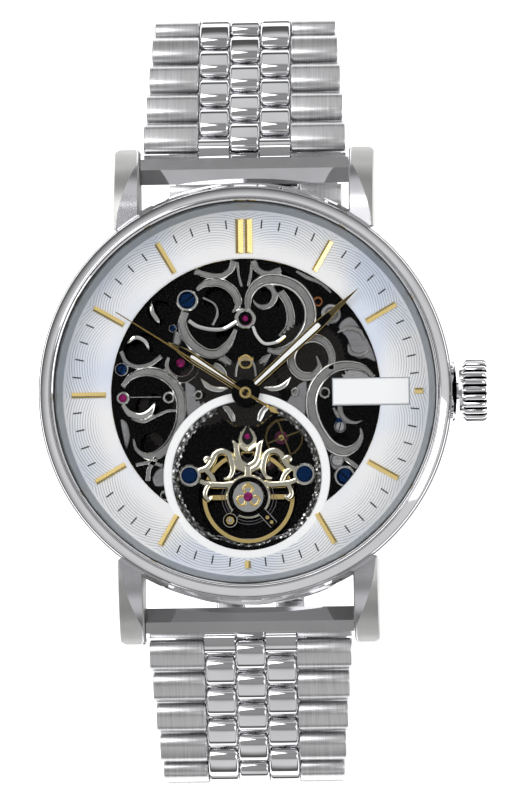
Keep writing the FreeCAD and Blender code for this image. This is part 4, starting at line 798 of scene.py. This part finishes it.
def makeRibbons():
    bm = bmesh.new()
    overWheel = {"low": 7.02, "height": 0.28}
    # upper left: hook, heart lobe and the sagging bar
    ribbon(bm, [(-5.0, 10.9), (-4.2, 11.5), (-3.0, 11.7), (-1.7, 11.2), (-0.9, 10.2), (-0.75, 9.2),
                (-1.3, 8.5)],
           1.05, taper=(0.4, 0.2))
    ribbon(bm, [(-6.3, 8.6), (-6.6, 7.4), (-6.2, 6.1), (-5.4, 5.1), (-4.2, 4.3), (-3.0, 4.2), (-2.2, 4.7),
                (-1.5, 5.6), (-1.0, 6.7)], 1.15, taper=(0.8, 0.4))
    ribbon(bm, [(-3.4, 4.1), (-2.3, 3.6), (-1.5, 2.8), (-1.1, 1.7)], 0.85, height=0.3, taper=(0.3, 0.6))
    ribbon(bm, [(-5.9, 7.7), (-5.0, 7.1), (-3.6, 6.75), (-2.2, 6.8), (-0.9, 7.5)], 0.6, **roundHighlighted)
    ribbon(bm, [(-4.4, 10.1), (-3.2, 9.4), (-2.9, 8.4), (-3.4, 7.2)], 0.3, height=0.25)
    # upper right: the large double loop
    ribbon(bm, [(0.3, 8.9), (0.45, 10.2), (1.3, 11.4), (2.7, 11.9), (4.4, 11.6), (5.8, 10.7), (6.7, 9.2),
                (6.8, 7.6), (6.2, 6.1), (5.0, 4.9), (3.4, 4.3), (2.3, 4.5)], 1.25, taper=(0.5, 0.4),
                **overWheel)
    ribbon(bm, arcPoints((1.95, 10.15), 1.15, 200, 480, 14), 0.75, height=0.62, taper=(0.3, 0.3))
    ribbon(bm, [(3.7, 10.6), (4.4, 9.5), (4.75, 8.2), (4.6, 6.9), (3.8, 5.8)], 0.95, height=0.3)
    ribbon(bm, [(0.8, 7.0), (1.2, 6.0), (2.0, 5.2), (3.2, 5.3), (4.2, 5.9)], 0.5, **roundHighlighted)
    ribbon(bm, [(2.6, 4.1), (1.9, 3.4), (1.3, 2.6), (1.1, 1.7)], 0.85, height=0.3, taper=(0.3, 0.6))
    # ribs down from the top
    ribbon(bm, [(-1.15, 13.9), (-1.5, 12.9), (-2.6, 12.3), (-4.1, 12.5), (-5.2, 12.9)], 0.8)
    ribbon(bm, [(0.95, 13.9), (1.4, 12.9), (2.4, 12.5), (3.8, 12.9)], 0.8)
    for side in (-1, 1):
        ribbon(bm, [(side * 0.75, 13.7), (side * 0.62, 12.4), (side * 0.35, 11.2)], 0.35, height=0.4)
    ribbon(bm, [(5.4, 12.7), (6.6, 12.0), (8.0, 11.4), (9.0, 10.4)], 0.6, taper=(0.6, 0.4))
    # left arch, hook and lower curl
    ribbon(bm, [(-12.9, 0.9), (-12.0, 1.9), (-10.5, 2.4), (-9.0, 2.2), (-7.8, 1.4), (-7.0, 0.2),
                (-6.75, -1.4),
                (-7.0, -3.2), (-7.8, -4.9), (-9.0, -6.1), (-10.4, -6.4), (-11.5, -5.7), (-11.8, -4.6)],
                1.2,
           taper=(0.5, 0.15))
    ribbon(bm, [(-12.9, -1.0), (-12.2, -1.9), (-11.0, -2.2), (-10.0, -1.7), (-9.5, -0.7)], 0.95,
           taper=(0.6, 0.1),
           **roundHighlighted)
    ribbon(bm, [(-12.0, -2.4), (-10.8, -2.8), (-9.4, -2.2), (-8.2, -1.7), (-7.3, -1.7)], 0.4, height=0.3)
    ribbon(bm, [(-12.1, -0.22), (-8.9, -0.22)], 0.14, height=0.2)
    ribbon(bm, arcPoints((-6.7, 3.1), 1.55, -210, 110, 16), 0.85, height=0.45, taper=(0.4, 0.4))
    # upper left rim: crescents round the dark bean
    ribbon(bm, [(-13.0, 4.6), (-12.5, 3.5), (-11.4, 2.95), (-10.0, 3.2), (-8.8, 4.0)], 0.6)
    ribbon(bm, [(-12.5, 5.3), (-11.5, 6.0), (-10.5, 5.6), (-10.0, 4.5)], 0.6, taper=(0.2, 0.1),
           **roundHighlighted)
    ribbon(bm, [(-9.8, 9.7), (-9.7, 8.7), (-9.3, 8.0), (-8.9, 7.4)], 0.7, taper=(0.2, 0.1), **roundHighlighted)
    # right arch round the nameplate and its curl
    ribbon(bm, [(13.2, 1.7), (12.2, 2.5), (10.7, 2.8), (9.1, 2.5), (7.9, 1.6), (7.1, 0.4), (6.8, -1.0),
                (7.0, -2.6), (7.7, -4.2), (8.8, -5.6), (10.2, -6.2), (11.4, -5.7), (12.0, -4.7),
                (11.9, -3.8)],
           1.25, taper=(0.5, 0.15), **overWheel)
    ribbon(bm, arcPoints((11.3, -1.7), 1.5, 30, 300, 14), 0.7, taper=(0.4, 0.2))
    ribbon(bm, [(9.1, -1.6), (9.6, -2.6), (10.6, -2.8)], 0.35, height=0.3)
    # the six-shaped scroll over the ratchet wheel
    ribbon(bm, [(8.9, 2.4), (9.0, 3.9), (8.3, 5.2), (7.0, 5.7), (5.6, 5.2), (4.8, 4.0), (4.9, 2.7),
                (5.8, 1.8),
                (7.0, 1.8), (7.7, 2.7), (7.4, 3.8)], 1.0, taper=(0.7, 0.2), **overWheel)
    ribbon(bm, [(9.6, 6.2), (10.6, 6.7), (11.9, 6.4), (12.4, 5.4)], 0.6, taper=(0.2, 0.3))
    ribbon(bm, [(12.9, 4.6), (12.0, 3.9), (11.0, 4.1), (10.7, 5.0)], 0.6, taper=(0.4, 0.2))
    # lower ribs
    ribbon(bm, [(-9.4, -6.6), (-10.2, -7.7), (-10.4, -9.0)], 0.6)
    ribbon(bm, [(-11.6, -7.3), (-10.2, -7.1), (-8.8, -7.4)], 0.5)
    ribbon(bm, [(9.3, -6.6), (10.4, -7.0), (11.6, -7.9)], 0.6)
    finishPiece("openworkRibbons", bm, [ribbonSteel, brightSteelAndHighlight], "case", (), angle=35)


innerPlate = [(-6.4, 1.4), (-5.4, 0.9), (-4.2, -0.9), (-4.7, -1.8), (-6.1, -2.6), (-6.4, -1.0)]
smallPlates = [  # outline, points per span, top, bevel
    ([(10.9, 7.9), (11.9, 6.9), (13.0, 5.0), (13.6, 3.2), (12.6, 3.5), (11.6, 3.5), (11.0, 4.4),
      (10.6, 5.6),
      (9.7, 6.9)], 5, 6.95, 0.08),
    ([(-7.4, 6.6), (-6.9, 6.3), (-6.7, 5.6), (-7.0, 5.1), (-7.6, 5.1)], 6, 7.1, 0.15),
    ([(-13.2, -2.6), (-12.5, -2.9), (-12.2, -4.4), (-12.6, -5.6), (-12.9, -4.6)], 6, 6.95, 0.1),
    ([(-9.0, -7.6), (-8.2, -8.0), (-8.4, -9.4), (-9.6, -9.6), (-9.9, -8.6)], 6, 6.95, 0.1),
    ([(8.6, -6.6), (9.3, -6.4), (9.9, -7.4), (9.2, -8.1), (8.7, -7.6)], 6, 6.95, 0.1)]


def makeBrushedPlates():
    bm = bmesh.new()
    for side in (1, -1):
        addPrism(bm, [(side * x, y) for x, y in innerPlate], ribbonSet["low"], 7.0, 0.1)
    for outline, perSpan, high, bevel in smallPlates:
        addPrism(bm, smoothPath(outline, True, perSpan), ribbonSet["low"], high, bevel)
    finishPiece("brushedPlates", bm, plateSteel, "case", (), angle=30)


def makeCentreArcs():
    bm = bmesh.new()
    for side in (-1, 1):
        ribbon(bm, [(side * 1.05, 1.75), (side * 1.0, 2.4), (side * 0.75, 3.2), (0, 3.75)], 0.2, 7.28,
               0.05)
        ribbon(bm, [(side * 4.7, 1.6), (side * 3.9, 0.75), (side * 2.9, 0.45), (side * 1.9, 0.6)], 0.55,
               7.27, 0.06,
               taper=(0.1, 0.3), **roundHighlighted)
        ribbon(bm, [(side * 3.3, 3.1), (side * 2.6, 2.5), (side * 2.1, 1.7)], 0.7, 7.27, 0.06,
               taper=(0.5, 0.5))
        ribbon(bm, [(side * 2.4, -1.3), (side * 1.7, -1.9), (side * 1.3, -2.9)], 0.6, 7.27, 0.06,
               taper=(0.3, 0.6))
    finishPiece("centreArcs", bm, [ribbonSteel, brightSteelAndHighlight], "case", (), angle=35)
    bm = bmesh.new()
    addRing(bm, 0, 3.3, 0.55, 0.75, 7.27, 7.32, 24, 0)
    for k in range(7):
        addPrism(bm, [(-0.78 + 0.24 * k, 3.4), (-0.62 + 0.24 * k, 3.4), (-0.66 + 0.24 * k, 3.78),
                      (-0.74 + 0.24 * k, 3.78)], 7.27, 7.33, 0)
    finishPiece("goldTeeth", bm, goldPolish, "case", (), smooth=False)


def addScrew(bm, x, y, head, collar, low, matHead=0, matCollar=1, slotShadeMat=2, slotTurn=20):
    if collar:
        addRing(bm, x, y, head + 0.06, collar, low - 0.2, low, 48, matCollar)
    addDisc(bm, x, y, head, low - 0.15, low + 0.12, 48, 0.1, matHead)
    half = max(head * 0.1, 0.04)
    # the slot is a thin raised bar in the near-black: painted shade standing for the cut
    addPrism(bm, turned([(-head * 0.95, -half), (head * 0.95, -half), (head * 0.95, half),
                         (-head * 0.95, half)],
                        slotTurn, (x, y)), low + 0.1, low + 0.126, 0, slotShadeMat)


blueScrews = [(-6.05, 9.85, 0.75, 1.15, 7.0, 35), (-7.6, 6.9, 0.27, 0.4, 7.0, -20),
              (-13.0, 2.7, 0.5, 0.7, 7.0, 60), (10.2, -8.8, 0.73, 1.16, 7.0, -40),
              (6.0, -8.5, 0.7, 1.1, 7.33, 15),
              (-6.0, -8.5, 0.7, 1.1, 7.33, -65)]
rings = [(-12.9, -0.3, 0.42, 0.7), (-8.1, -0.3, 0.38, 0.6), (8.2, 0.0, 0.38, 0.62),
         (5.1, 0.1, 0.25, 0.42),
         (-8.6, -10.6, 0.3, 0.6), (0.0, 7.85, 0.72, 1.1), (-5.0, -0.1, 0.3, 0.46)]


def makeSmallParts():
    bm = bmesh.new()
    for x, y, head, collar, low, slotTurn in blueScrews:
        addScrew(bm, x, y, head, collar, low, slotTurn=slotTurn)
    finishPiece("bluedScrews", bm, [bluedSteel, brightSteelAndHighlight, blackPolishAndShade], "case", (), angle=30)
    bm = bmesh.new()
    addDisc(bm, 9.45, -7.1, 0.66, 6.7, 7.05, 40, 0.1, 0)
    addScrew(bm, 9.75, -3.6, 0.5, 0.62, 7.0, 0, 0, 2, 75)
    addRing(bm, 9.0, 8.2, 0.6, 1.05, 7.02, 7.3, 48, 0)
    addRing(bm, 7.6, 9.5, 0.3, 0.55, 6.7, 7.0, 40, 1)
    for x, y, inner, outer in rings:
        low, high = (6.7, 7.1) if abs(x) > 5.5 or y > 5 else (7.28, 7.34)
        addRing(bm, x, y, inner, outer, low, high, 48, 3)
    finishPiece("ringsAndCaps", bm, [grainedSteel, copperRing, blackPolishAndShade, brightSteelAndHighlight], "case", (),
                angle=30)
    bm = bmesh.new()
    for x, y, radius in ((-12.9, -0.3, 0.4), (0.0, 7.85, 0.3), (-6.8, 3.3, 0.45)):
        addDisc(bm, x, y, radius, 6.68, 6.98, 32, 0.1)
    finishPiece("topJewels", bm, ruby, "case", (), angle=30)


# notched ring just inside the sub-dial ring, in steel with painted glints
def makeGlintRing():
    bm = bmesh.new()
    steps, inner, outer = 480, 7.08, 7.78
    rows = []
    for index in range(steps):
        turn = 2 * math.pi * index / steps
        notch = 0.12 if (index // 4) % 2 else 0.0
        rows.append([bm.verts.new((r * math.cos(turn) * mm, (dialSet["ringY"] + r * math.sin(turn)) * mm,
                                   z * mm))
                     for r, z in ((inner + notch, 6.7), (outer, 6.7), (outer, 7.3),
                                  (inner + 0.2 + notch, 7.0),
                                  (inner + notch, 6.9))])
    skin(bm, rows, True)
    finishPiece("glitterRing", bm, glintSteel, "case", (), smooth=False)


makeRibbons()
makeBrushedPlates()
makeCentreArcs()
makeSmallParts()
makeGlintRing()
print("openwork made")


# ---- balance cock, shock setting, regulator ----
cockSet = {"low": 6.86, "height": 0.44, "x": 0.1, "y": -10.8, "grow": 1.35}


def makeCock():
    bm = bmesh.new()
    cx, cy, low, height = cockSet["x"], cockSet["y"], cockSet["low"], cockSet["height"]
    addRing(bm, cx, cy, 1.98, 2.3, low, low + height, 96, 0)
    for side in (-1, 1):
        def scroll(points, width, taper):
            ribbon(bm, [(cx + side * px, py) for px, py in points], width * cockSet["grow"], low, height,
                   False, taper,
                   roundProfile, ())
        addRing(bm, side * 6.0, -8.5, 0.74, 1.15, low, low + height * 0.9, 56, 0)
        scroll([(5.1, -8.0), (4.3, -7.7), (3.8, -7.1), (3.4, -6.3), (2.7, -6.0), (2.0, -6.3), (1.7, -7.1),
                (1.6, -8.0), (1.9, -8.7), (2.5, -8.9)], 0.62, (0.9, 0.35))
        scroll([(5.0, -9.1), (4.2, -9.4), (3.2, -9.5), (2.2, -9.5), (1.3, -9.3)], 0.62, (0.8, 0.9))
        scroll([(3.9, -9.3), (4.35, -9.9), (4.5, -10.6), (4.1, -11.0), (3.8, -10.6)], 0.5, (0.8, 0.3))
        scroll([(4.5, -7.9), (3.9, -8.4), (3.5, -9.2)], 0.55, (0.8, 0.8))
        scroll([(3.6, -6.9), (4.3, -6.7), (4.5, -7.2)], 0.45, (0.8, 0.3))
        scroll([(0.35, -8.0), (1.0, -7.6), (1.4, -6.9)], 0.6, (1.0, 0.8))
        scroll([(0.1, -7.55), (0.8, -7.1), (1.1, -6.2), (1.25, -5.4), (1.65, -4.8)], 0.6, (0.9, 0.12))
        scroll([(0.9, -5.2), (0.55, -5.6), (0.1, -6.0)], 0.4, (0.5, 0.9))
    for points, width in (([(cx, -9.0), (cx, -8.3), (cx, -7.6)], 1.0),):
        ribbon(bm, points, width, low, height, False, (1, 1), roundProfile, ())
    outline = smoothPath([(cx, -2.9), (cx + 0.5, -3.7), (cx + 0.95, -4.6), (cx + 0.75, -5.3), (cx, -5.75),
                          (cx - 0.75, -5.3), (cx - 0.95, -4.6), (cx - 0.5, -3.7)], True, 6)
    addPrism(bm, outline, low, low + height * 0.85, 0.12, 0)
    inner = [(cx + (px - cx) * 0.62, -4.5 + (py + 4.5) * 0.7) for px, py in outline]
    addPrism(bm, inner, low + height * 0.8, low + height * 0.9, 0.02, 1)
    addDisc(bm, cx, -4.5, 0.3, low + height * 0.85, low + height, 32, 0.06, 2)
    addPrism(bm, smoothPath([(cx - 0.55, -6.2), (cx, -6.75), (cx + 0.55, -6.2), (cx + 0.4, -7.0),
                             (cx, -7.3),
                             (cx - 0.4, -7.0)], True, 6), low, low + height * 0.6, 0.05, 1)
    finishPiece("scrollCock", bm, [giltPale, darkSteelAndShade, ruby], "case", ["balance_cock"],
                angle=35)


def makeShock():
    cx, cy = cockSet["x"], cockSet["y"]
    bm = bmesh.new()
    addDisc(bm, cx, cy, 1.7, 6.9, 7.42, 72, 0.12, 0)
    addRing(bm, cx, cy, 1.72, 1.97, 6.9, 7.36, 72, 1)
    for turn in (90, 210, 330):
        addBand(bm, turned([(0.45, -0.25), (0.75, -0.5), (1.15, -0.3), (1.15, 0.3), (0.75, 0.5),
                            (0.45, 0.25)], turn,
                          (cx, cy)), 0.26, 7.41, 0.1, False, roundProfile, (), matBase=2)
    addDisc(bm, cx, cy, 0.5, 7.38, 7.46, 40, 0.06, 3)
    addPrism(bm, [(cx - 0.2, cy + 0.9), (cx + 0.2, cy + 0.9), (cx + 0.2, cy + 1.5), (cx - 0.2, cy + 1.5)],
             7.41, 7.5,
             0.03, 2)
    finishPiece("shockSetting", bm, [brightSteelAndHighlight, blackPolishAndShade, goldPolish, ruby], "case",
                ["shock_setting"], angle=30)


regulatorSet = {"low": 7.37, "high": 7.5, "weight": 218, "fork": 138, "weightReach": 3.1}


def aroundBalance(points, clock):
    return [(cockSet["x"] + x, cockSet["y"] + y) for x, y in alongHand(points, clock)]


def makeRegulator():
    cx, cy = cockSet["x"], cockSet["y"]
    bm = bmesh.new()
    low, high, weight, fork = (regulatorSet[key] for key in ("low", "high", "weight", "fork"))
    addRing(bm, cx, cy, 1.76, 2.08, low, high, 72, 0)
    addPrism(bm, aroundBalance([(1.9, -0.42), (3.0, -0.5), (3.0, 0.5), (1.9, 0.42)], weight), low, high,
             0.03, 0)
    [(endX, endY)] = aroundBalance([(regulatorSet["weightReach"], 0)], weight)
    addDisc(bm, endX, endY, 0.72, low, high, 48, 0.05, 0)
    # a bright rim and a bright centre on the black weight disc: painted highlights
    addRing(bm, endX, endY, 0.66, 0.74, low, high + 0.02, 48, 1)
    addRing(bm, endX, endY, 0.26, 0.42, high - 0.02, high + 0.06, 40, 2)
    addDisc(bm, endX, endY, 0.25, high - 0.02, high + 0.05, 32, 0.04, 1)
    addPrism(bm, aroundBalance([(1.9, -0.42), (4.0, -0.42), (4.0, 0.42), (1.9, 0.42)], fork), low, high,
             0.05, 0)
    # thin bright lines along the arm edges: painted highlights on the black arms
    for clock, end, half in ((weight, 2.5, 0.44), (fork, 4.0, 0.42)):
        for side in (half, -half):
            addPrism(bm, aroundBalance([(2.0, side - 0.03), (end, side - 0.03), (end, side + 0.03),
                                        (2.0, side + 0.03)], clock), low, high + 0.01, 0, 1)
    for x, y in aroundBalance([(2.95, 0), (3.6, 0)], fork):
        addDisc(bm, x, y, 0.19, high - 0.02, high + 0.06, 24, 0.04, 2)
    finishPiece("regulatorArms", bm, [blackPolishAndShade, brightSteelAndHighlight, goldPolish], "regulator", ["regulator"],
                angle=30)


def makeSubDialWheels():
    bm = bmesh.new()
    addRing(bm, 3.9, -4.6, 1.75, 2.05, 6.72, 6.82, 64, 0)
    for turn in (20, 110, 200, 290):
        addPrism(bm, turned([(0.2, -0.1), (1.85, -0.07), (1.85, 0.07), (0.2, 0.1)], turn, (3.9, -4.6)),
                 6.72, 6.8, 0,
                 0)
    for side in (-1, 1):
        ribbon(bm, [(side * 3.0, -1.6), (side * 1.9, -2.4), (side * 1.0, -3.4)], 0.9, 6.7, 0.25, False,
               (0.6, 0.6),
               roundProfile, ())
    # the wheel face deep under the sub-dial is in the dark gold: painted shade
    finishPiece("spokedWheelFace", bm, [goldPaintedShade], "case", (), angle=30)


makeRegulator()
makeSubDialWheels()
makeCock()
makeShock()
print("cock made")


# ---- crown ----
crownSet = {"ribs": 24, "perRib": 12, "depth": 0.42, "grooveStart": 22.65, "grooveEnd": 25.0, "z": 5.6}


def makeCrown():
    bm = bmesh.new()
    steps = crownSet["ribs"] * crownSet["perRib"]
    stations = [(22.25, 2.6, 0), (22.25, 2.95, 0), (22.55, 3.02, 0.0), (22.7, 3.1, 0.5),
                (22.95, 3.4, 1.0),
                (24.6, 3.4, 1.0), (24.9, 3.36, 0.9), (25.12, 3.12, 0.3), (25.2, 2.95, 0.0),
                (25.32, 2.6, 0),
                (25.43, 1.8, 0), (25.5, 0.8, 0)]
    rows = []
    for x, radius, depth in stations:
        row = []
        for index in range(steps):
            turn = 2 * math.pi * index / steps
            bump = abs(math.cos(crownSet["ribs"] / 2 * turn)) ** 0.6
            r = radius - depth * crownSet["depth"] * (1 - bump)
            row.append(bm.verts.new((x * mm, r * math.cos(turn) * mm,
                                     (crownSet["z"] + r * math.sin(turn)) * mm)))
        rows.append(row)

    # the grooves between the ribs are painted near-black: painted shade in the knurling
    def grooveShadeMask(k, row):
        groove = abs(math.cos(crownSet["ribs"] * math.pi * (k + 0.5) / steps)) < 0.5
        return int(groove and crownSet["grooveStart"] < row[k].co.x / mm < crownSet["grooveEnd"])

    skin(bm, rows, paint=grooveShadeMask)
    finishPiece("crownKnob", bm, [polished, blackPolishAndShade], "crown", ["crown"], angle=40)


makeCrown()
print("crown made")


# ---- bracelet ----
braceletSet = {"pitch": 3.5, "thick": 2.4, "gap": 0.16, "outer": 6.0, "inner": 3.15, "space": 0.06,
               "step": 0.26,
               "hinge": (26.3, 2.9), "tapered": 6, "pin": 0.35,
               "tilts": [24, 24, 25, 33, 80, 90, 98, 109, 121, 133, 145, 157, 167, 175],
               "groups": {"12": [[1], [2], [3], [4], [5, 6], [7, 8, 9, 10], [11, 12, 13, 14]],
                          "6": [[1], [2], [3], [4], [5, 6, 7, 8, 9], [10, 11, 12, 13, 14]]}}


def rowPlace(row):
    y, z = braceletSet["hinge"]
    for tilt in braceletSet["tilts"][:row - 1]:
        y += braceletSet["pitch"] * math.cos(math.radians(tilt))
        z -= braceletSet["pitch"] * math.sin(math.radians(tilt))
    return y, z, math.radians(braceletSet["tilts"][row - 1])


def linkSection(start, end, inset):
    radius = braceletSet["thick"] / 2
    points = []
    for middle, first in ((end - radius, math.pi / 2), (start + radius, -math.pi / 2)):
        for k in range(15):
            turn = first - math.pi * k / 14
            points.append((middle + (radius - inset) * math.cos(turn), (radius - inset) * math.sin(turn)))
    return points


def addLink(bm, start, end, left, width, edge, mapPoint, matIndex):
    cuts = []
    for k in range(5):
        turn = math.pi / 2 * k / 4
        cuts.append((edge * (1 - math.sin(turn)), edge * (1 - math.cos(turn))))
    stations = [(left + across, inset) for inset, across in cuts] \
        + [(left + width - across, inset) for inset, across in cuts[::-1]]
    rows = []
    for x, inset in stations:
        rows.append([bm.verts.new(mapPoint(x, u, v)) for u, v in linkSection(start, end, inset)])
    skin(bm, rows, caps=False, paint=lambda side, row: matIndex)
    for row in (rows[0], rows[-1]):
        bm.faces.new(row).material_index = matIndex


def linkColumns(row):
    outer = braceletSet["outer"] - braceletSet["step"] * min(row, braceletSet["tapered"])
    inner, gap = braceletSet["inner"], braceletSet["space"]
    half = inner / 2
    return [(-half - inner - 2 * gap - outer, outer, "outer"), (-half - inner - gap, inner, "between"),
            (-half, inner, "centre"), (half + gap, inner, "between"),
            (half + inner + 2 * gap, outer, "outer")]


def makeLinkGroup(side, number, rows):
    bm = bmesh.new()
    sign = 1 if side == "12" else -1
    step, gap = braceletSet["pitch"], braceletSet["gap"]
    for row in rows:
        y, z, tilt = rowPlace(row)

        def mapPoint(x, u, v):
            return (x * mm, sign * (y + u * math.cos(tilt) + v * math.sin(tilt)) * mm,
                    (z - u * math.sin(tilt) + v * math.cos(tilt)) * mm)
        for left, width, kind in linkColumns(row):
            if kind == "between":
                addLink(bm, step / 4 + gap / 2, 5 * step / 4 - gap / 2, left, width, 0.28, mapPoint, 1)
            else:
                addLink(bm, -step / 4 + gap / 2, 3 * step / 4 - gap / 2, left, width,
                        0.28 if kind == "centre"
                        else 0.14, mapPoint, 1 if kind == "centre" else 0)
        reach = linkColumns(row)[-1][0] + linkColumns(row)[-1][1] - 0.12
        pin = braceletSet["pin"]
        skin(bm, [[bm.verts.new(mapPoint(x, step / 2 + pin * math.cos(t), pin * math.sin(t)))
                   for t in (2 * math.pi * k / 12 for k in range(12))] for x in (-reach, reach)])
    finishPiece(f"braceletRow_{side}_{number}", bm, [satinSteel, polished], f"links_{side}_{number}",
                [f"link_{side}_{number}"], angle=35)


for side, groups in braceletSet["groups"].items():
    for number, rows in enumerate(groups, start=1):
        makeLinkGroup(side, number, rows)
print("bracelet made")


# ---- materials on the pieces that keep their shape ----
kept = [
    (polished, "case_body crown_tube end_piece_12 end_piece_6 clasp_button_right "
               "clasp_button_left"),
    (glassMat, "crystal back_crystal"),
    (satinSteel, "case_back spring_bars winding_stem clasp_cover clasp_blade_outer "
                 "clasp_blade_inner"),
    (blackPolishAndShade, "regulator movement_ring main_plate train_bridge"),
    (rubber, "gaskets crown_seal"),
    (rehautAndShadowGrey, "rehaut_ring"),
    (shadedRuby, "jewels"),
    (bluedSteel, "movement_screws"),
    # the wheels under the openwork are near-black: painted shade
    (darkSteelAndShade, "fourth_wheel third_wheel centre_wheel barrel ratchet_wheel minute_wheel "
                "hour_wheel"),
    (wheelBrass, "escape_wheel"),
    (springStrip, "mainspring hairspring"),
    (grainedSteel, "crown_wheel pallet_fork click rotor"),
    (goldPolish, "balance_wheel"),
]
for material, labels in kept:
    for label in labels.split():
        mesh = nodes[label].data
        mesh.materials.clear()
        mesh.materials.append(material)
print("materials set")
